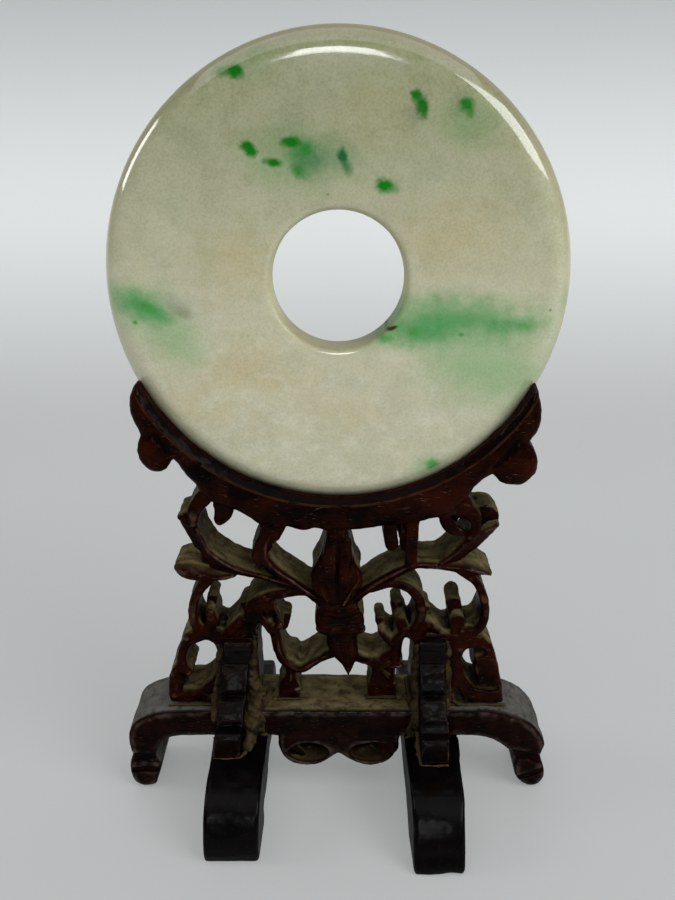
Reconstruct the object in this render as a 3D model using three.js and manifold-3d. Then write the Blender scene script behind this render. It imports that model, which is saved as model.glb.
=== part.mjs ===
// Jade bi disc standing in a carved hardwood cradle. Millimetres, +Z up, the front faces -Y.
// The origin is on the ground under the middle of the stand.
import * as THREE from 'three';
import { mergeVertices } from 'three/addons/utils/BufferGeometryUtils.js';
import Module from 'manifold-3d';

const wasm = await Module();
wasm.setup();

// Jade disc
const DISC_RADIUS = 28.5;
const DISC_THICKNESS = 5.8;
const DISC_EDGE_ROUND = 3.1; // radial depth of the rounded rim
const HOLE_RADIUS = 8.25;
const HOLE_EDGE_ROUND = 0.8;
const DISC_LEAN = THREE.MathUtils.degToRad(3.6); // it leans back in its groove
const DISC_X = 0.1;
const DISC_FOOT_Z = 45.75; // lowest point of the rim
const DISC_STEPS = 64;
const RIM_STEPS = 8;
const HOLE_EDGE_STEPS = 3;

// Carved panel
const BOARD_FRONT = -4.1;
const BOARD_BACK = 4.1;
const FRET_FRONT = -2.7; // the openwork is cut back from the cradle's front
const FRET_BACK = 3.9;
const BUD_FRONT = -3.7;
const POST_FRONT = -1.0; // posts and blocks that stand behind the openwork's face
const HOOK_PROUD = 0.4; // how far the hook under the cradle stands in front of the openwork
const LIP_RADIUS = 27.5; // top edge of the groove's lips
const LIP_CENTRE_Z = 74.25;
const PANEL_FOOT_Z = 14.0;
const GAP = 0.3; // glued faces stand this far apart

// Base rail and feet
const RAIL_TOP = 13.7;
const RAIL_BOTTOM = 9.1;
const RAIL_FRONT = -4.1;
const RAIL_BACK = 4.9;
const APRON_HOLLOW = { leftX: -4.4, rightX: 4.9, z: 6.1, halfWidth: 2.7, halfHeight: 1.84, depth: 2.43 };
const TOE_GROOVE = { length: 5.4, depth: 0.4, width: 0.5 };
const LEFT_TOE_GROOVE = { x: -28.3, z: 4.6, slope: 0.06 };
const RIGHT_TOE_GROOVE = { x: 28.4, z: 3.8, slope: -0.35 };
const FOOT_HALF_WIDTH = 3.9;
const FOOT_REACH = 20.15; // from the middle of the stand out to a toe
const LEFT_FOOT_FRONT_REACH = 18.2;
const LEFT_FOOT_X = -13.95;
const RIGHT_FOOT_X = 13.5;
const LEFT_FOOT_TAPER = { low: 0, high: 0.5 }; // how much each side has narrowed at the toe
const RIGHT_FOOT_TAPER = { low: 0.4, high: 0.6 };
const TAPER_START = 5; // a foot is parallel from the rail out to here
const BRACKET_WIDTH = 3.8;
const BRACKET_TOP = 25.3;
const BACK_BRACKET_TOP = 23.6;
const LEFT_BRACKET_SEAT = 8.6; // how far a bracket's foot stands out from the middle of the stand
const RIGHT_BRACKET_SEAT = 9.9;
const BACK_BRACKET_SEAT = 9.4;

const STEPS_PER_SPAN = 3; // samples between two points of a carved band
const BEYOND = 40; // farther out than any piece reaches

const JADE = new THREE.MeshStandardMaterial({ color: 0xb9bb98, roughness: 0.22, metalness: 0 });
const CARVED_WOOD = new THREE.MeshStandardMaterial({ color: 0x3a1712, roughness: 0.42, metalness: 0 });
const BASE_WOOD = new THREE.MeshStandardMaterial({ color: 0x1d1011, roughness: 0.36, metalness: 0 });

// ---- solids ----

function toSolid(geometry) {
  const bare = geometry.index ? geometry.clone() : mergeVertices(geometry);
  bare.deleteAttribute('normal');
  bare.deleteAttribute('uv');
  const merged = mergeVertices(bare, 1e-4);
  return new wasm.Manifold(new wasm.Mesh({
    numProp: 3,
    vertProperties: new Float32Array(merged.attributes.position.array),
    triVerts: new Uint32Array(merged.index.array),
  }));
}

function toMesh(name, solid, material) {
  const mesh = solid.getMesh();
  const geometry = new THREE.BufferGeometry();
  geometry.setAttribute('position', new THREE.BufferAttribute(new Float32Array(mesh.vertProperties), 3));
  geometry.setIndex(new THREE.BufferAttribute(new Uint32Array(mesh.triVerts), 1));
  geometry.computeVertexNormals();
  const object = new THREE.Mesh(geometry, material);
  object.name = name;
  return object;
}

// An outline drawn in X and Z, cut from a board that runs from yFront to yBack.
function board(outline, yFront, yBack) {
  const geometry = new THREE.ExtrudeGeometry(outline, {
    depth: yBack - yFront, bevelEnabled: false, curveSegments: 6,
  });
  geometry.rotateX(Math.PI / 2);
  geometry.translate(0, yBack, 0);
  return toSolid(geometry);
}

// A side outline drawn in Y and Z, cut from a board that runs from xLow to xHigh.
function sideBoard(points, xLow, xHigh) {
  const outline = new THREE.Shape(points.map(([y, z]) => new THREE.Vector2(y, z)));
  const geometry = new THREE.ExtrudeGeometry(outline, { depth: xHigh - xLow, bevelEnabled: false });
  geometry.rotateX(Math.PI / 2);
  geometry.rotateZ(Math.PI / 2);
  geometry.translate(xLow, 0, 0);
  return toSolid(geometry);
}

function block(xLow, xHigh, yLow, yHigh, zLow, zHigh) {
  const geometry = new THREE.BoxGeometry(xHigh - xLow, yHigh - yLow, zHigh - zLow);
  geometry.translate((xLow + xHigh) / 2, (yLow + yHigh) / 2, (zLow + zHigh) / 2);
  return toSolid(geometry);
}

function joined(solids) {
  return solids.reduce((whole, solid) => whole.add(solid));
}

// ---- outlines ----

function smooth(points, steps = STEPS_PER_SPAN) {
  const curve = new THREE.CatmullRomCurve3(
    points.map(([x, z]) => new THREE.Vector3(x, z, 0)), false, 'centripetal');
  return curve.getPoints((points.length - 1) * steps);
}

function smoothShape(points, steps) {
  return new THREE.Shape(smooth(points, steps).map((p) => new THREE.Vector2(p.x, p.y)));
}

// Points [x, z, width] along a carved band give its outline, with round ends.
function bandShape(points) {
  const line = new THREE.CatmullRomCurve3(
    points.map(([x, z, width]) => new THREE.Vector3(x, z, width / 2)), false, 'centripetal');
  const samples = line.getPoints((points.length - 1) * STEPS_PER_SPAN);
  const tangents = samples.map((sample, i) => {
    const before = samples[Math.max(i - 1, 0)];
    const after = samples[Math.min(i + 1, samples.length - 1)];
    return new THREE.Vector2(after.x - before.x, after.y - before.y).normalize();
  });
  const side = (sign) => {
    const edge = [];
    samples.forEach((sample, i) => {
      const t = tangents[i];
      const point = new THREE.Vector2(sample.x - sign * t.y * sample.z, sample.y + sign * t.x * sample.z);
      const last = edge[edge.length - 1];
      if (!last || point.clone().sub(last).dot(t) > 0.05) edge.push(point);
    });
    return edge;
  };
  const cap = (i, turn) => [-0.5, 0, 0.5].map((part) => {
    const angle = tangents[i].angle() + turn + part * Math.PI / 2;
    const r = samples[i].z;
    return new THREE.Vector2(samples[i].x + r * Math.cos(angle), samples[i].y + r * Math.sin(angle));
  });
  const end = samples.length - 1;
  return new THREE.Shape([...side(-1), ...cap(end, 0), ...side(1).reverse(), ...cap(0, Math.PI)]);
}

function bands(list, yFront = FRET_FRONT, yBack = FRET_BACK) {
  return list.map((points) => board(bandShape(points), yFront, yBack));
}

// ---- jade disc ----

// Rounded rim of the disc, from its front face round to its back face, as [radius, depth].
function rimProfile(grow) {
  const half = DISC_THICKNESS / 2 + grow;
  const outer = DISC_RADIUS + grow;
  const rim = [];
  for (let i = 0; i <= RIM_STEPS; i += 1) {
    const a = -Math.PI / 2 + (i / RIM_STEPS) * Math.PI;
    rim.push([outer - DISC_EDGE_ROUND * (1 - Math.cos(a)), half * Math.sin(a)]);
  }
  return rim;
}

// Eased edge of the hole, from its wall out to the front face.
function holeEdge() {
  const edge = [];
  for (let i = HOLE_EDGE_STEPS; i >= 0; i -= 1) {
    const a = (i / HOLE_EDGE_STEPS) * (Math.PI / 2);
    const inwards = HOLE_EDGE_ROUND * (1 - Math.cos(a));
    edge.push([HOLE_RADIUS + HOLE_EDGE_ROUND * (1 - Math.sin(a)), -DISC_THICKNESS / 2 + inwards]);
  }
  return edge;
}

// Turns a [radius, depth] profile about the disc's own leaning axis.
function turned(profile) {
  const geometry = new THREE.LatheGeometry(profile.map(([r, y]) => new THREE.Vector2(r, y)), DISC_STEPS);
  geometry.rotateX(-DISC_LEAN);
  const footBelowCentre = DISC_RADIUS * Math.cos(DISC_LEAN);
  const backOfFoot = DISC_RADIUS * Math.sin(DISC_LEAN);
  geometry.translate(DISC_X, backOfFoot, DISC_FOOT_Z + footBelowCentre);
  return toSolid(geometry);
}

function jadeDisc() {
  const front = holeEdge();
  const back = front.map(([r, y]) => [r, -y]).reverse();
  return turned([...front, ...rimProfile(0), ...back, front[0]]);
}

// The disc's own form, a little larger and without its hole, hollows the cradle's groove.
function grooveCutter() {
  const half = DISC_THICKNESS / 2 + GAP;
  return turned([[0, -half], ...rimProfile(GAP), [0, half]]);
}

// ---- cradle ----

function cradle() {
  const leftOuter = [
    [-23.7, 62.3], [-24.3, 62.5], [-25.5, 61.3], [-26.0, 59.3], [-25.7, 57.2], [-24.8, 55.3],
    [-25.4, 54.0], [-25.4, 52.2], [-24.6, 50.8], [-23.3, 50.3], [-22.0, 50.7], [-20.9, 52.0],
    [-19.9, 50.4], [-18.5, 48.5], [-17.3, 46.8], [-15.4, 45.5], [-13.2, 44.8], [-10.4, 42.9],
  ];
  const under = [[-5.5, 42.4], [0, 42.0], [5.5, 42.4], [10.2, 43.1]];
  const rightOuter = [
    [14.4, 44.3], [16.7, 46.3], [17.7, 48.1], [19.9, 49.9], [21.0, 48.9], [22.6, 48.5],
    [24.4, 48.7], [25.4, 49.9], [25.6, 51.6], [25.1, 53.4], [24.5, 54.3], [25.2, 55.5],
    [25.6, 57.5], [25.4, 59.5], [24.8, 61.4], [24.1, 62.2], [23.5, 61.8],
  ];
  const outline = new THREE.Shape();
  const edge = smooth([...leftOuter, ...under, ...rightOuter], 2);
  edge.forEach((p, i) => (i ? outline.lineTo(p.x, p.y) : outline.moveTo(p.x, p.y)));
  outline.lineTo(20, LIP_CENTRE_Z);
  outline.lineTo(-20, LIP_CENTRE_Z);
  outline.closePath();
  const inside = new THREE.Shape();
  inside.absarc(0, LIP_CENTRE_Z, LIP_RADIUS, 0, Math.PI * 2, false);
  const cutThrough = board(new THREE.Shape(inside.getPoints(28)), BOARD_FRONT - 1, BOARD_BACK + 1);
  return board(outline, BOARD_FRONT, BOARD_BACK).subtract(cutThrough).subtract(grooveCutter());
}

// ---- openwork ----

const leftBands = [
  // inner stem and the post that it climbs to under the cradle
  [[-1.6, 30.7, 2.2], [-4.3, 32.4, 1.3], [-6.9, 34.2, 1.4], [-9.3, 35.9, 1.7], [-10.7, 38.2, 1.5],
    [-10.6, 40.6, 1.5], [-9.7, 43.4, 2.6]],
  [[-8.3, 43.6, 3.0], [-8.3, 41.6, 2.4], [-8.0, 40.0, 1.0]],
  // outer branch and its upper leaf, with the folded tip that meets the cradle
  [[-4.2, 32.3, 1.0], [-7.5, 33.5, 1.5], [-10.5, 34.6, 1.3], [-13.2, 35.1, 1.3], [-16.0, 36.2, 2.2],
    [-18.2, 38.3, 2.8], [-19.5, 41.0, 2.7], [-20.6, 43.2, 1.5]],
  [[-20.8, 43.4, 1.0], [-19.6, 44.4, 2.0], [-18.0, 45.9, 2.4], [-16.4, 47.2, 2.4]],
  // lower leaf
  [[-12.4, 34.8, 1.0], [-15.5, 34.5, 1.4], [-18.2, 35.2, 3.0], [-20.4, 35.5, 3.0], [-21.5, 36.0, 1.4]],
  // outer scroll
  [[-17.8, 34.0, 1.8], [-19.2, 31.8, 1.3], [-20.0, 29.2, 1.2], [-19.8, 27.0, 1.3], [-18.5, 25.9, 1.5],
    [-17.5, 26.9, 1.6], [-17.6, 28.8, 1.4]],
  [[-18.0, 25.6, 1.6], [-15.7, 25.3, 1.4], [-14.3, 26.4, 1.6], [-13.2, 27.8, 1.2]],
  // middle scroll with its round end, and the small curl under it
  [[-4.0, 32.2, 1.0], [-7.0, 32.0, 1.3], [-9.6, 31.3, 1.9], [-11.2, 29.8, 2.7], [-11.5, 28.4, 2.7]],
  [[-11.6, 28.0, 1.9], [-12.2, 26.2, 1.6], [-13.0, 24.4, 3.0]],
  [[-11.0, 28.4, 1.0], [-10.0, 27.0, 1.1], [-9.0, 26.1, 1.4], [-8.0, 27.1, 0.9]],
  // cup beside the pendant
  [[-9.0, 26.3, 1.2], [-8.5, 24.7, 1.5], [-8.3, 22.6, 1.5], [-7.3, 20.5, 1.5], [-5.3, 19.5, 1.5],
    [-3.4, 20.6, 1.3], [-1.6, 21.8, 1.5], [0.2, 22.8, 1.6]],
  [[-8.2, 23.0, 1.2], [-7.6, 24.8, 1.0]],
  // lower side scroll
  [[-17.4, 25.6, 1.8], [-19.2, 25.0, 1.6], [-21.1, 23.9, 1.4], [-22.0, 21.8, 1.3], [-22.1, 20.0, 1.7],
    [-23.0, 17.6, 1.7], [-23.2, 15.2, 1.9]],
  [[-23.3, 15.3, 1.9], [-21.0, 15.2, 1.8], [-19.2, 15.7, 1.6], [-17.6, 17.2, 1.6], [-16.2, 18.8, 1.6]],
  [[-22.2, 20.2, 1.4], [-21.2, 19.2, 1.2]],
];

const leftHook = [[-14.9, 46.2, 2.6], [-15.0, 44.2, 2.3], [-15.6, 43.0, 1.6]];
const leftPost = [[-6.6, 20.0, 2.0], [-6.7, 17.8, 1.3], [-7.0, 15.8, 2.6], [-7.0, 14.9, 2.8]];

const rightBands = [
  // inner stem, running out into the lower leaf
  [[1.4, 30.7, 2.2], [3.6, 32.2, 1.4], [5.8, 33.8, 1.4], [8.0, 34.9, 1.4], [10.2, 35.8, 1.5],
    [12.8, 36.0, 1.2], [15.3, 36.1, 1.4], [17.6, 35.8, 1.8], [19.4, 35.2, 1.2], [20.6, 34.8, 0.5]],
  // post and stub under the cradle
  [[9.8, 44.0, 1.6], [9.8, 41.0, 1.7], [9.9, 38.5, 1.8], [9.8, 36.2, 2.0]],
  [[7.2, 43.6, 2.1], [7.15, 41.2, 2.0], [7.3, 39.4, 1.9]],
  // upper leaf and the curl that ties it to the cradle
  [[14.4, 36.6, 1.0], [16.2, 38.0, 1.9], [17.8, 39.9, 2.4], [19.4, 41.3, 2.0], [21.0, 41.9, 0.8]],
  [[15.6, 46.8, 2.8], [17.4, 44.4, 2.6], [18.6, 42.6, 1.8], [19.2, 41.6, 1.2]],
  [[15.0, 45.2, 1.8], [15.7, 43.2, 1.9], [16.4, 41.6, 1.5], [17.0, 40.4, 1.2]],
  // outer scroll and its upright knob
  [[16.8, 35.2, 1.0], [18.9, 33.7, 1.0], [19.8, 31.6, 1.0], [20.3, 29.4, 1.0], [20.2, 27.3, 1.2],
    [19.3, 26.0, 1.4], [17.4, 25.7, 1.5], [16.6, 26.8, 1.6], [16.6, 28.3, 1.5]],
  [[16.8, 25.3, 1.4], [14.9, 25.2, 1.2], [13.6, 26.0, 1.4], [12.4, 26.9, 1.3]],
  // middle scroll and its knob
  [[5.0, 33.0, 1.0], [7.8, 33.3, 1.3], [9.8, 32.5, 1.4], [11.1, 30.8, 1.4], [11.5, 28.8, 1.4],
    [11.0, 27.0, 1.4], [10.3, 25.4, 1.4]],
  [[12.6, 26.8, 1.4], [11.6, 25.8, 1.4], [11.2, 24.8, 1.4]],
  [[10.3, 25.4, 1.4], [9.3, 25.9, 1.6], [8.7, 27.5, 1.7]],
  // cup beside the pendant, its wall and strut
  [[9.3, 25.9, 1.4], [8.4, 24.4, 1.5], [8.3, 22.6, 1.4], [8.1, 20.6, 1.4]],
  [[8.3, 23.4, 1.2], [7.2, 24.2, 1.5], [6.2, 25.2, 1.1]],
  [[0.6, 22.9, 1.6], [2.2, 21.8, 1.5], [4.2, 20.9, 1.4], [6.0, 21.1, 1.4], [7.8, 22.2, 1.4]],
  [[4.5, 20.6, 1.2], [6.3, 20.3, 1.2], [8.5, 20.2, 1.2]],
];

const rightPost = [[6.4, 20.4, 3.4], [6.4, 17.6, 3.4], [6.4, 16.0, 3.6]];

// Plain blocks of the openwork as [xLow, xHigh, yFront, zLow, zHigh].
const panelBlocks = [
  [-16.8, -11.1, FRET_FRONT, PANEL_FOOT_Z, 25.6], // stile behind the left bracket
  [10.6, 16.3, FRET_FRONT, PANEL_FOOT_Z, 25.4], // stile behind the right bracket
  [-17.2, -16.2, FRET_FRONT, 17.6, 19.6], // bridge to the left side scroll
  [-24.1, -16.4, FRET_FRONT + 0.2, PANEL_FOOT_Z, 14.9], // sill of the left side scroll
  [-8.4, -5.6, POST_FRONT - HOOK_PROUD, PANEL_FOOT_Z, 15.4], // foot of the left post
  [4.4, 8.4, POST_FRONT, PANEL_FOOT_Z, 16.2], // foot of the right post
];

function bud() {
  const outline = smoothShape([
    [-1.2, 42.6], [-1.9, 39.6], [-2.5, 37.4], [-3.4, 35.6], [-3.3, 33.4], [-2.3, 31.2], [-2.9, 29.4],
    [-3.1, 27.4], [-2.7, 25.6], [-1.5, 24.4], [-0.6, 22.0], [0.5, 19.8], [1.4, 18.7], [2.2, 20.4],
    [2.7, 22.4], [2.5, 24.4], [3.2, 25.8], [3.7, 27.6], [3.2, 29.4], [1.6, 31.0], [2.0, 32.8],
    [2.5, 35.2], [2.1, 37.6], [1.7, 39.6], [1.3, 42.6],
  ], 2);
  return board(outline, BUD_FRONT, FRET_BACK);
}

function rightSideScroll() {
  const plate = smoothShape([
    [15.8, 25.6], [18.4, 25.6], [20.2, 25.0], [21.7, 23.6], [22.5, 21.0], [23.0, 19.0], [23.6, 16.6],
    [24.0, PANEL_FOOT_Z],
  ], 2);
  plate.lineTo(15.8, PANEL_FOOT_Z);
  plate.closePath();
  const openings = [
    [[20.0, 22.6, 1.5], [18.7, 22.1, 1.9], [18.5, 20.4, 1.9], [19.1, 18.2, 1.3], [19.8, 16.9, 0.9],
      [21.2, 16.5, 0.7], [22.7, 16.5, 0.7]],
    [[17.0, 16.4, 0.6], [17.4, 14.6, 1.2], [17.6, 13.0, 1.2]],
  ].map((points) => board(bandShape(points), BOARD_FRONT, BOARD_BACK + 1));
  return openings.reduce((solid, opening) => solid.subtract(opening), board(plate, FRET_FRONT, FRET_BACK));
}

function carvedPanel() {
  const blocks = panelBlocks.map(([xLow, xHigh, yFront, zLow, zHigh]) => block(
    xLow, xHigh, yFront, FRET_BACK, zLow, zHigh));
  return joined([
    cradle(),
    bud(),
    ...bands(leftBands),
    ...bands([leftHook], FRET_FRONT - HOOK_PROUD),
    ...bands([leftPost], POST_FRONT - HOOK_PROUD),
    ...bands(rightBands),
    ...bands([rightPost], POST_FRONT),
    ...blocks,
    rightSideScroll(),
  ]).subtract(block(-BEYOND, BEYOND, -BEYOND, BEYOND, 0, PANEL_FOOT_Z));
}

// ---- base rail ----

function railOutline() {
  const top = smooth([
    [-26.9, 0.3], [-28.6, 0], [-30.0, 0.8], [-30.55, 2.6], [-30.4, 4.4], [-30.0, 5.6], [-30.3, 7.4],
    [-30.2, 9.4], [-29.2, 11.5], [-27.3, 12.8], [-24.6, 13.5], [-20.0, RAIL_TOP],
  ], 2);
  const topRight = smooth([
    [19.5, RAIL_TOP], [22.5, 13.6], [25.3, 12.8], [27.8, 11.4], [29.4, 9.4], [30.2, 7.4], [29.7, 5.5],
    [30.3, 3.6], [30.55, 1.8], [29.9, 0.5], [28.8, 0], [27.4, 0.5],
  ], 2);
  const underRight = smooth([
    [27.4, 0.5], [26.3, 2.0], [25.9, 3.9], [26.1, 5.2], [24.7, 6.9], [22.6, 8.4], [20.0, RAIL_BOTTOM],
  ], 2);
  const underLeft = smooth([
    [-22.4, RAIL_BOTTOM], [-24.8, 8.6], [-26.1, 7.0], [-26.6, 5.6], [-25.9, 4.2], [-26.2, 2.4], [-26.9, 0.3],
  ], 2);
  return [...top, ...topRight, ...underRight.slice(1), ...apronOutline(), ...underLeft.slice(0, -1)];
}

// Two round lobes hang under the middle of the rail.
function apronOutline() {
  return smooth([
    [9.0, RAIL_BOTTOM], [8.9, 7.4], [8.2, 5.5], [6.8, 4.2], [4.9, 3.8], [2.6, 4.3], [1.0, 5.3], [0.1, 6.0],
    [-0.9, 5.2], [-2.4, 4.2], [-4.4, 3.7], [-6.6, 4.2], [-8.0, 5.5], [-8.6, 7.4], [-8.6, RAIL_BOTTOM],
  ], 2);
}

function apronHollow(x) {
  const bowl = new THREE.SphereGeometry(1, 16, 10);
  bowl.scale(APRON_HOLLOW.halfWidth, APRON_HOLLOW.depth, APRON_HOLLOW.halfHeight);
  bowl.translate(x, RAIL_FRONT, APRON_HOLLOW.z);
  return toSolid(bowl);
}

function baseRail() {
  const outline = new THREE.Shape(railOutline().map((p) => new THREE.Vector2(p.x, p.y)));
  return board(outline, RAIL_FRONT, RAIL_BACK)
    .subtract(apronHollow(APRON_HOLLOW.leftX))
    .subtract(apronHollow(APRON_HOLLOW.rightX))
    .subtract(toeGroove(LEFT_TOE_GROOVE))
    .subtract(toeGroove(RIGHT_TOE_GROOVE));
}

// A shallow cut across the front of each scrolled toe.
function toeGroove({ x, z, slope }) {
  const groove = new THREE.BoxGeometry(TOE_GROOVE.length, 2 * TOE_GROOVE.depth, TOE_GROOVE.width);
  groove.rotateY(slope);
  groove.translate(x, RAIL_FRONT, z);
  return toSolid(groove);
}

// ---- feet ----

// Side outline of half a foot: each point is [distance out from the middle of the rail, height].
function footHalf(reach, sloping) {
  const top = [[0, 9.6], [4.6, 9.6], [8.6, 9.2], [12.6, 8.8], [reach - 2.8, 8.0]];
  const nose = sloping
    ? [[reach - 1.9, 6.4], [reach - 1.1, 4.4], [reach - 0.4, 2.4], [reach, 1.1], [reach - 0.2, 0]]
    : [[reach - 0.9, 6.0], [reach - 0.04, 3.8], [reach - 0.14, 1.8], [reach - 0.7, 0]];
  const sole = [[reach - 6.8, 0], [reach - 8.4, 1.4], [reach - 11.6, 3.2], [4.6, 3.7], [0, 3.8]];
  return { over: smooth([...top, ...nose], 2).map((p) => [p.x, p.y]), under: sole };
}

function foot(xMiddle, frontReach, slopingToe, taper) {
  const front = footHalf(frontReach, slopingToe);
  const back = footHalf(FOOT_REACH, false);
  const forward = ([out, z]) => [-out, z];
  const loop = [
    ...front.over.map(forward).reverse(),
    ...back.over.slice(1),
    ...back.under,
    ...front.under.slice(0, -1).reverse().map(forward),
  ];
  const lap = block(-BEYOND, BEYOND, RAIL_FRONT - GAP, RAIL_BACK + GAP, RAIL_BOTTOM - GAP, BEYOND);
  return [...footTapers(xMiddle, frontReach, taper), lap].reduce(
    (kept, cutter) => kept.subtract(cutter),
    sideBoard(loop.reverse(), xMiddle - FOOT_HALF_WIDTH, xMiddle + FOOT_HALF_WIDTH));
}

// Thin wedges narrow a foot's sides towards its front and back ends.
function footTapers(xMiddle, frontReach, taper) {
  const wedges = [];
  for (const [along, reach] of [[-1, frontReach], [1, FOOT_REACH]]) {
    for (const [side, narrowing] of [[-1, taper.low], [1, taper.high]]) {
      if (!narrowing) continue;
      const shape = new THREE.Shape();
      shape.moveTo(side * (FOOT_HALF_WIDTH + 1), along * TAPER_START);
      shape.lineTo(side * FOOT_HALF_WIDTH, along * TAPER_START);
      shape.lineTo(side * (FOOT_HALF_WIDTH - narrowing), along * (reach + 1));
      shape.lineTo(side * (FOOT_HALF_WIDTH + 1), along * (reach + 1));
      shape.closePath();
      const wedge = new THREE.ExtrudeGeometry(shape, { depth: 2 * RAIL_TOP, bevelEnabled: false });
      wedge.translate(xMiddle, 0, -1);
      wedges.push(toSolid(wedge));
    }
  }
  return wedges;
}

// ---- brackets ----

// A bracket seen from its side, as distances out from the middle of the stand: three sloping
// teeth over a foot, its back against the panel and, lower down, against the rail.
function bracketProfile(panelFace, railFace, seat, top) {
  const againstPanel = panelFace + GAP;
  const againstRail = railFace + GAP;
  return [
    [againstPanel, top], [againstPanel + 1.3, top], [againstPanel + 1.5, top - 1.4],
    [againstPanel + 0.7, top - 1.9], [againstPanel + 0.7, 21.2], [againstPanel + 1.8, 20.5],
    [5.9, 18.6], [5.5, 18.0], [5.2, 17.0], [5.8, 16.6], [7.4, 14.6], [7.4, 14.0],
    [seat - 1.7, 13.5], [seat - 0.5, 13.0], [seat, 12.4], [seat, 9.45], [againstRail, 9.95],
    [againstRail, RAIL_TOP + GAP], [againstPanel, RAIL_TOP + GAP],
  ];
}

function frontBracket(xFoot, xTop, seat) {
  const profile = bracketProfile(-FRET_FRONT, -RAIL_FRONT, seat, BRACKET_TOP).map(([out, z]) => [-out, z]);
  return leaning(sideBoard(profile, -BRACKET_WIDTH / 2, BRACKET_WIDTH / 2), xFoot, xTop);
}

function backBracket(xMiddle) {
  const profile = bracketProfile(FRET_BACK, RAIL_BACK, BACK_BRACKET_SEAT, BACK_BRACKET_TOP);
  return leaning(sideBoard(profile.reverse(), -BRACKET_WIDTH / 2, BRACKET_WIDTH / 2), xMiddle, xMiddle);
}

// Shears an upright bracket sideways, so that it stands at xFoot and ends at xTop.
function leaning(solid, xFoot, xTop) {
  const slope = (xTop - xFoot) / (BRACKET_TOP - RAIL_BOTTOM);
  const shift = xFoot - slope * RAIL_BOTTOM;
  return solid.transform([1, 0, 0, 0, 0, 1, 0, 0, slope, 0, 1, 0, shift, 0, 0, 1]);
}

// ---- assembly ----

const group = new THREE.Group();
group.add(toMesh('jade_disc', jadeDisc(), JADE));
group.add(toMesh('carved_panel', carvedPanel(), CARVED_WOOD));
group.add(toMesh('base_rail', baseRail(), BASE_WOOD));
group.add(toMesh('left_foot', foot(LEFT_FOOT_X, LEFT_FOOT_FRONT_REACH, false, LEFT_FOOT_TAPER), BASE_WOOD));
group.add(toMesh('right_foot', foot(RIGHT_FOOT_X, FOOT_REACH, true, RIGHT_FOOT_TAPER), BASE_WOOD));
group.add(toMesh('front_left_bracket', frontBracket(-15.6, -13.75, LEFT_BRACKET_SEAT), BASE_WOOD));
group.add(toMesh('front_right_bracket', frontBracket(13.5, 13.2, RIGHT_BRACKET_SEAT), BASE_WOOD));
group.add(toMesh('back_left_bracket', backBracket(LEFT_FOOT_X), BASE_WOOD));
group.add(toMesh('back_right_bracket', backBracket(RIGHT_FOOT_X), BASE_WOOD));

export default group;
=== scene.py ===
"""A polished jade bi disc standing in the grooved cradle of a carved hardwood stand.

The wood and the thick glue are carved on grids of distances, in millimetres, and drawn over with a
net. The ring, the thin beads of glue and the pale specks are made with geometry nodes. Every finished
piece is in metres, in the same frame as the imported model, with its place in its mesh.
"""
import logging
import math
from collections.abc import Callable, Sequence
from dataclasses import dataclass
from enum import Enum
from typing import Any, Protocol

import bpy
import numpy as np
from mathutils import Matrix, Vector

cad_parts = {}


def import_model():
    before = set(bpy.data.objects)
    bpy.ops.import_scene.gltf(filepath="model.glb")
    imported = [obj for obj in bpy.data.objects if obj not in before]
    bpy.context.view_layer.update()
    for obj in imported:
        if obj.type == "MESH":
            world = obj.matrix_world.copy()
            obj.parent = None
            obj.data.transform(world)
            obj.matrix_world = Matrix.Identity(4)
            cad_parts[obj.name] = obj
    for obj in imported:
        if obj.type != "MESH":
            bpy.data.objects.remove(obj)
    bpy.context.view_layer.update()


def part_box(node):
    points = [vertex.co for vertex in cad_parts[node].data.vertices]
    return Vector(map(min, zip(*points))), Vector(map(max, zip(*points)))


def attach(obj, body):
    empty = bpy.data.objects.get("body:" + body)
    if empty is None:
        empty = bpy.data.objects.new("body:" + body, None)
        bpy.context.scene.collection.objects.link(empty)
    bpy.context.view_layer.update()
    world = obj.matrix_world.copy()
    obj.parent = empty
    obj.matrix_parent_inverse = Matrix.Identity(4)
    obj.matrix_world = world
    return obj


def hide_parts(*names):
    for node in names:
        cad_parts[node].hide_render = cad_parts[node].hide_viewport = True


LOG = logging.getLogger("bi_disc")
MM = 0.001
DRIFT = (1.0, 0.7, 1.3)  # how far one step of a seed moves a pattern along X, Y and Z, in patches
FAR = 1.6  # distances on a carving grid are kept within this many millimetres
Array = np.ndarray
Point = tuple[float, float]
Place = tuple[float, float, float]
Row = tuple[float, float, float, float]
Colour = tuple[float, float, float]


# ----- Node trees


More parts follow.
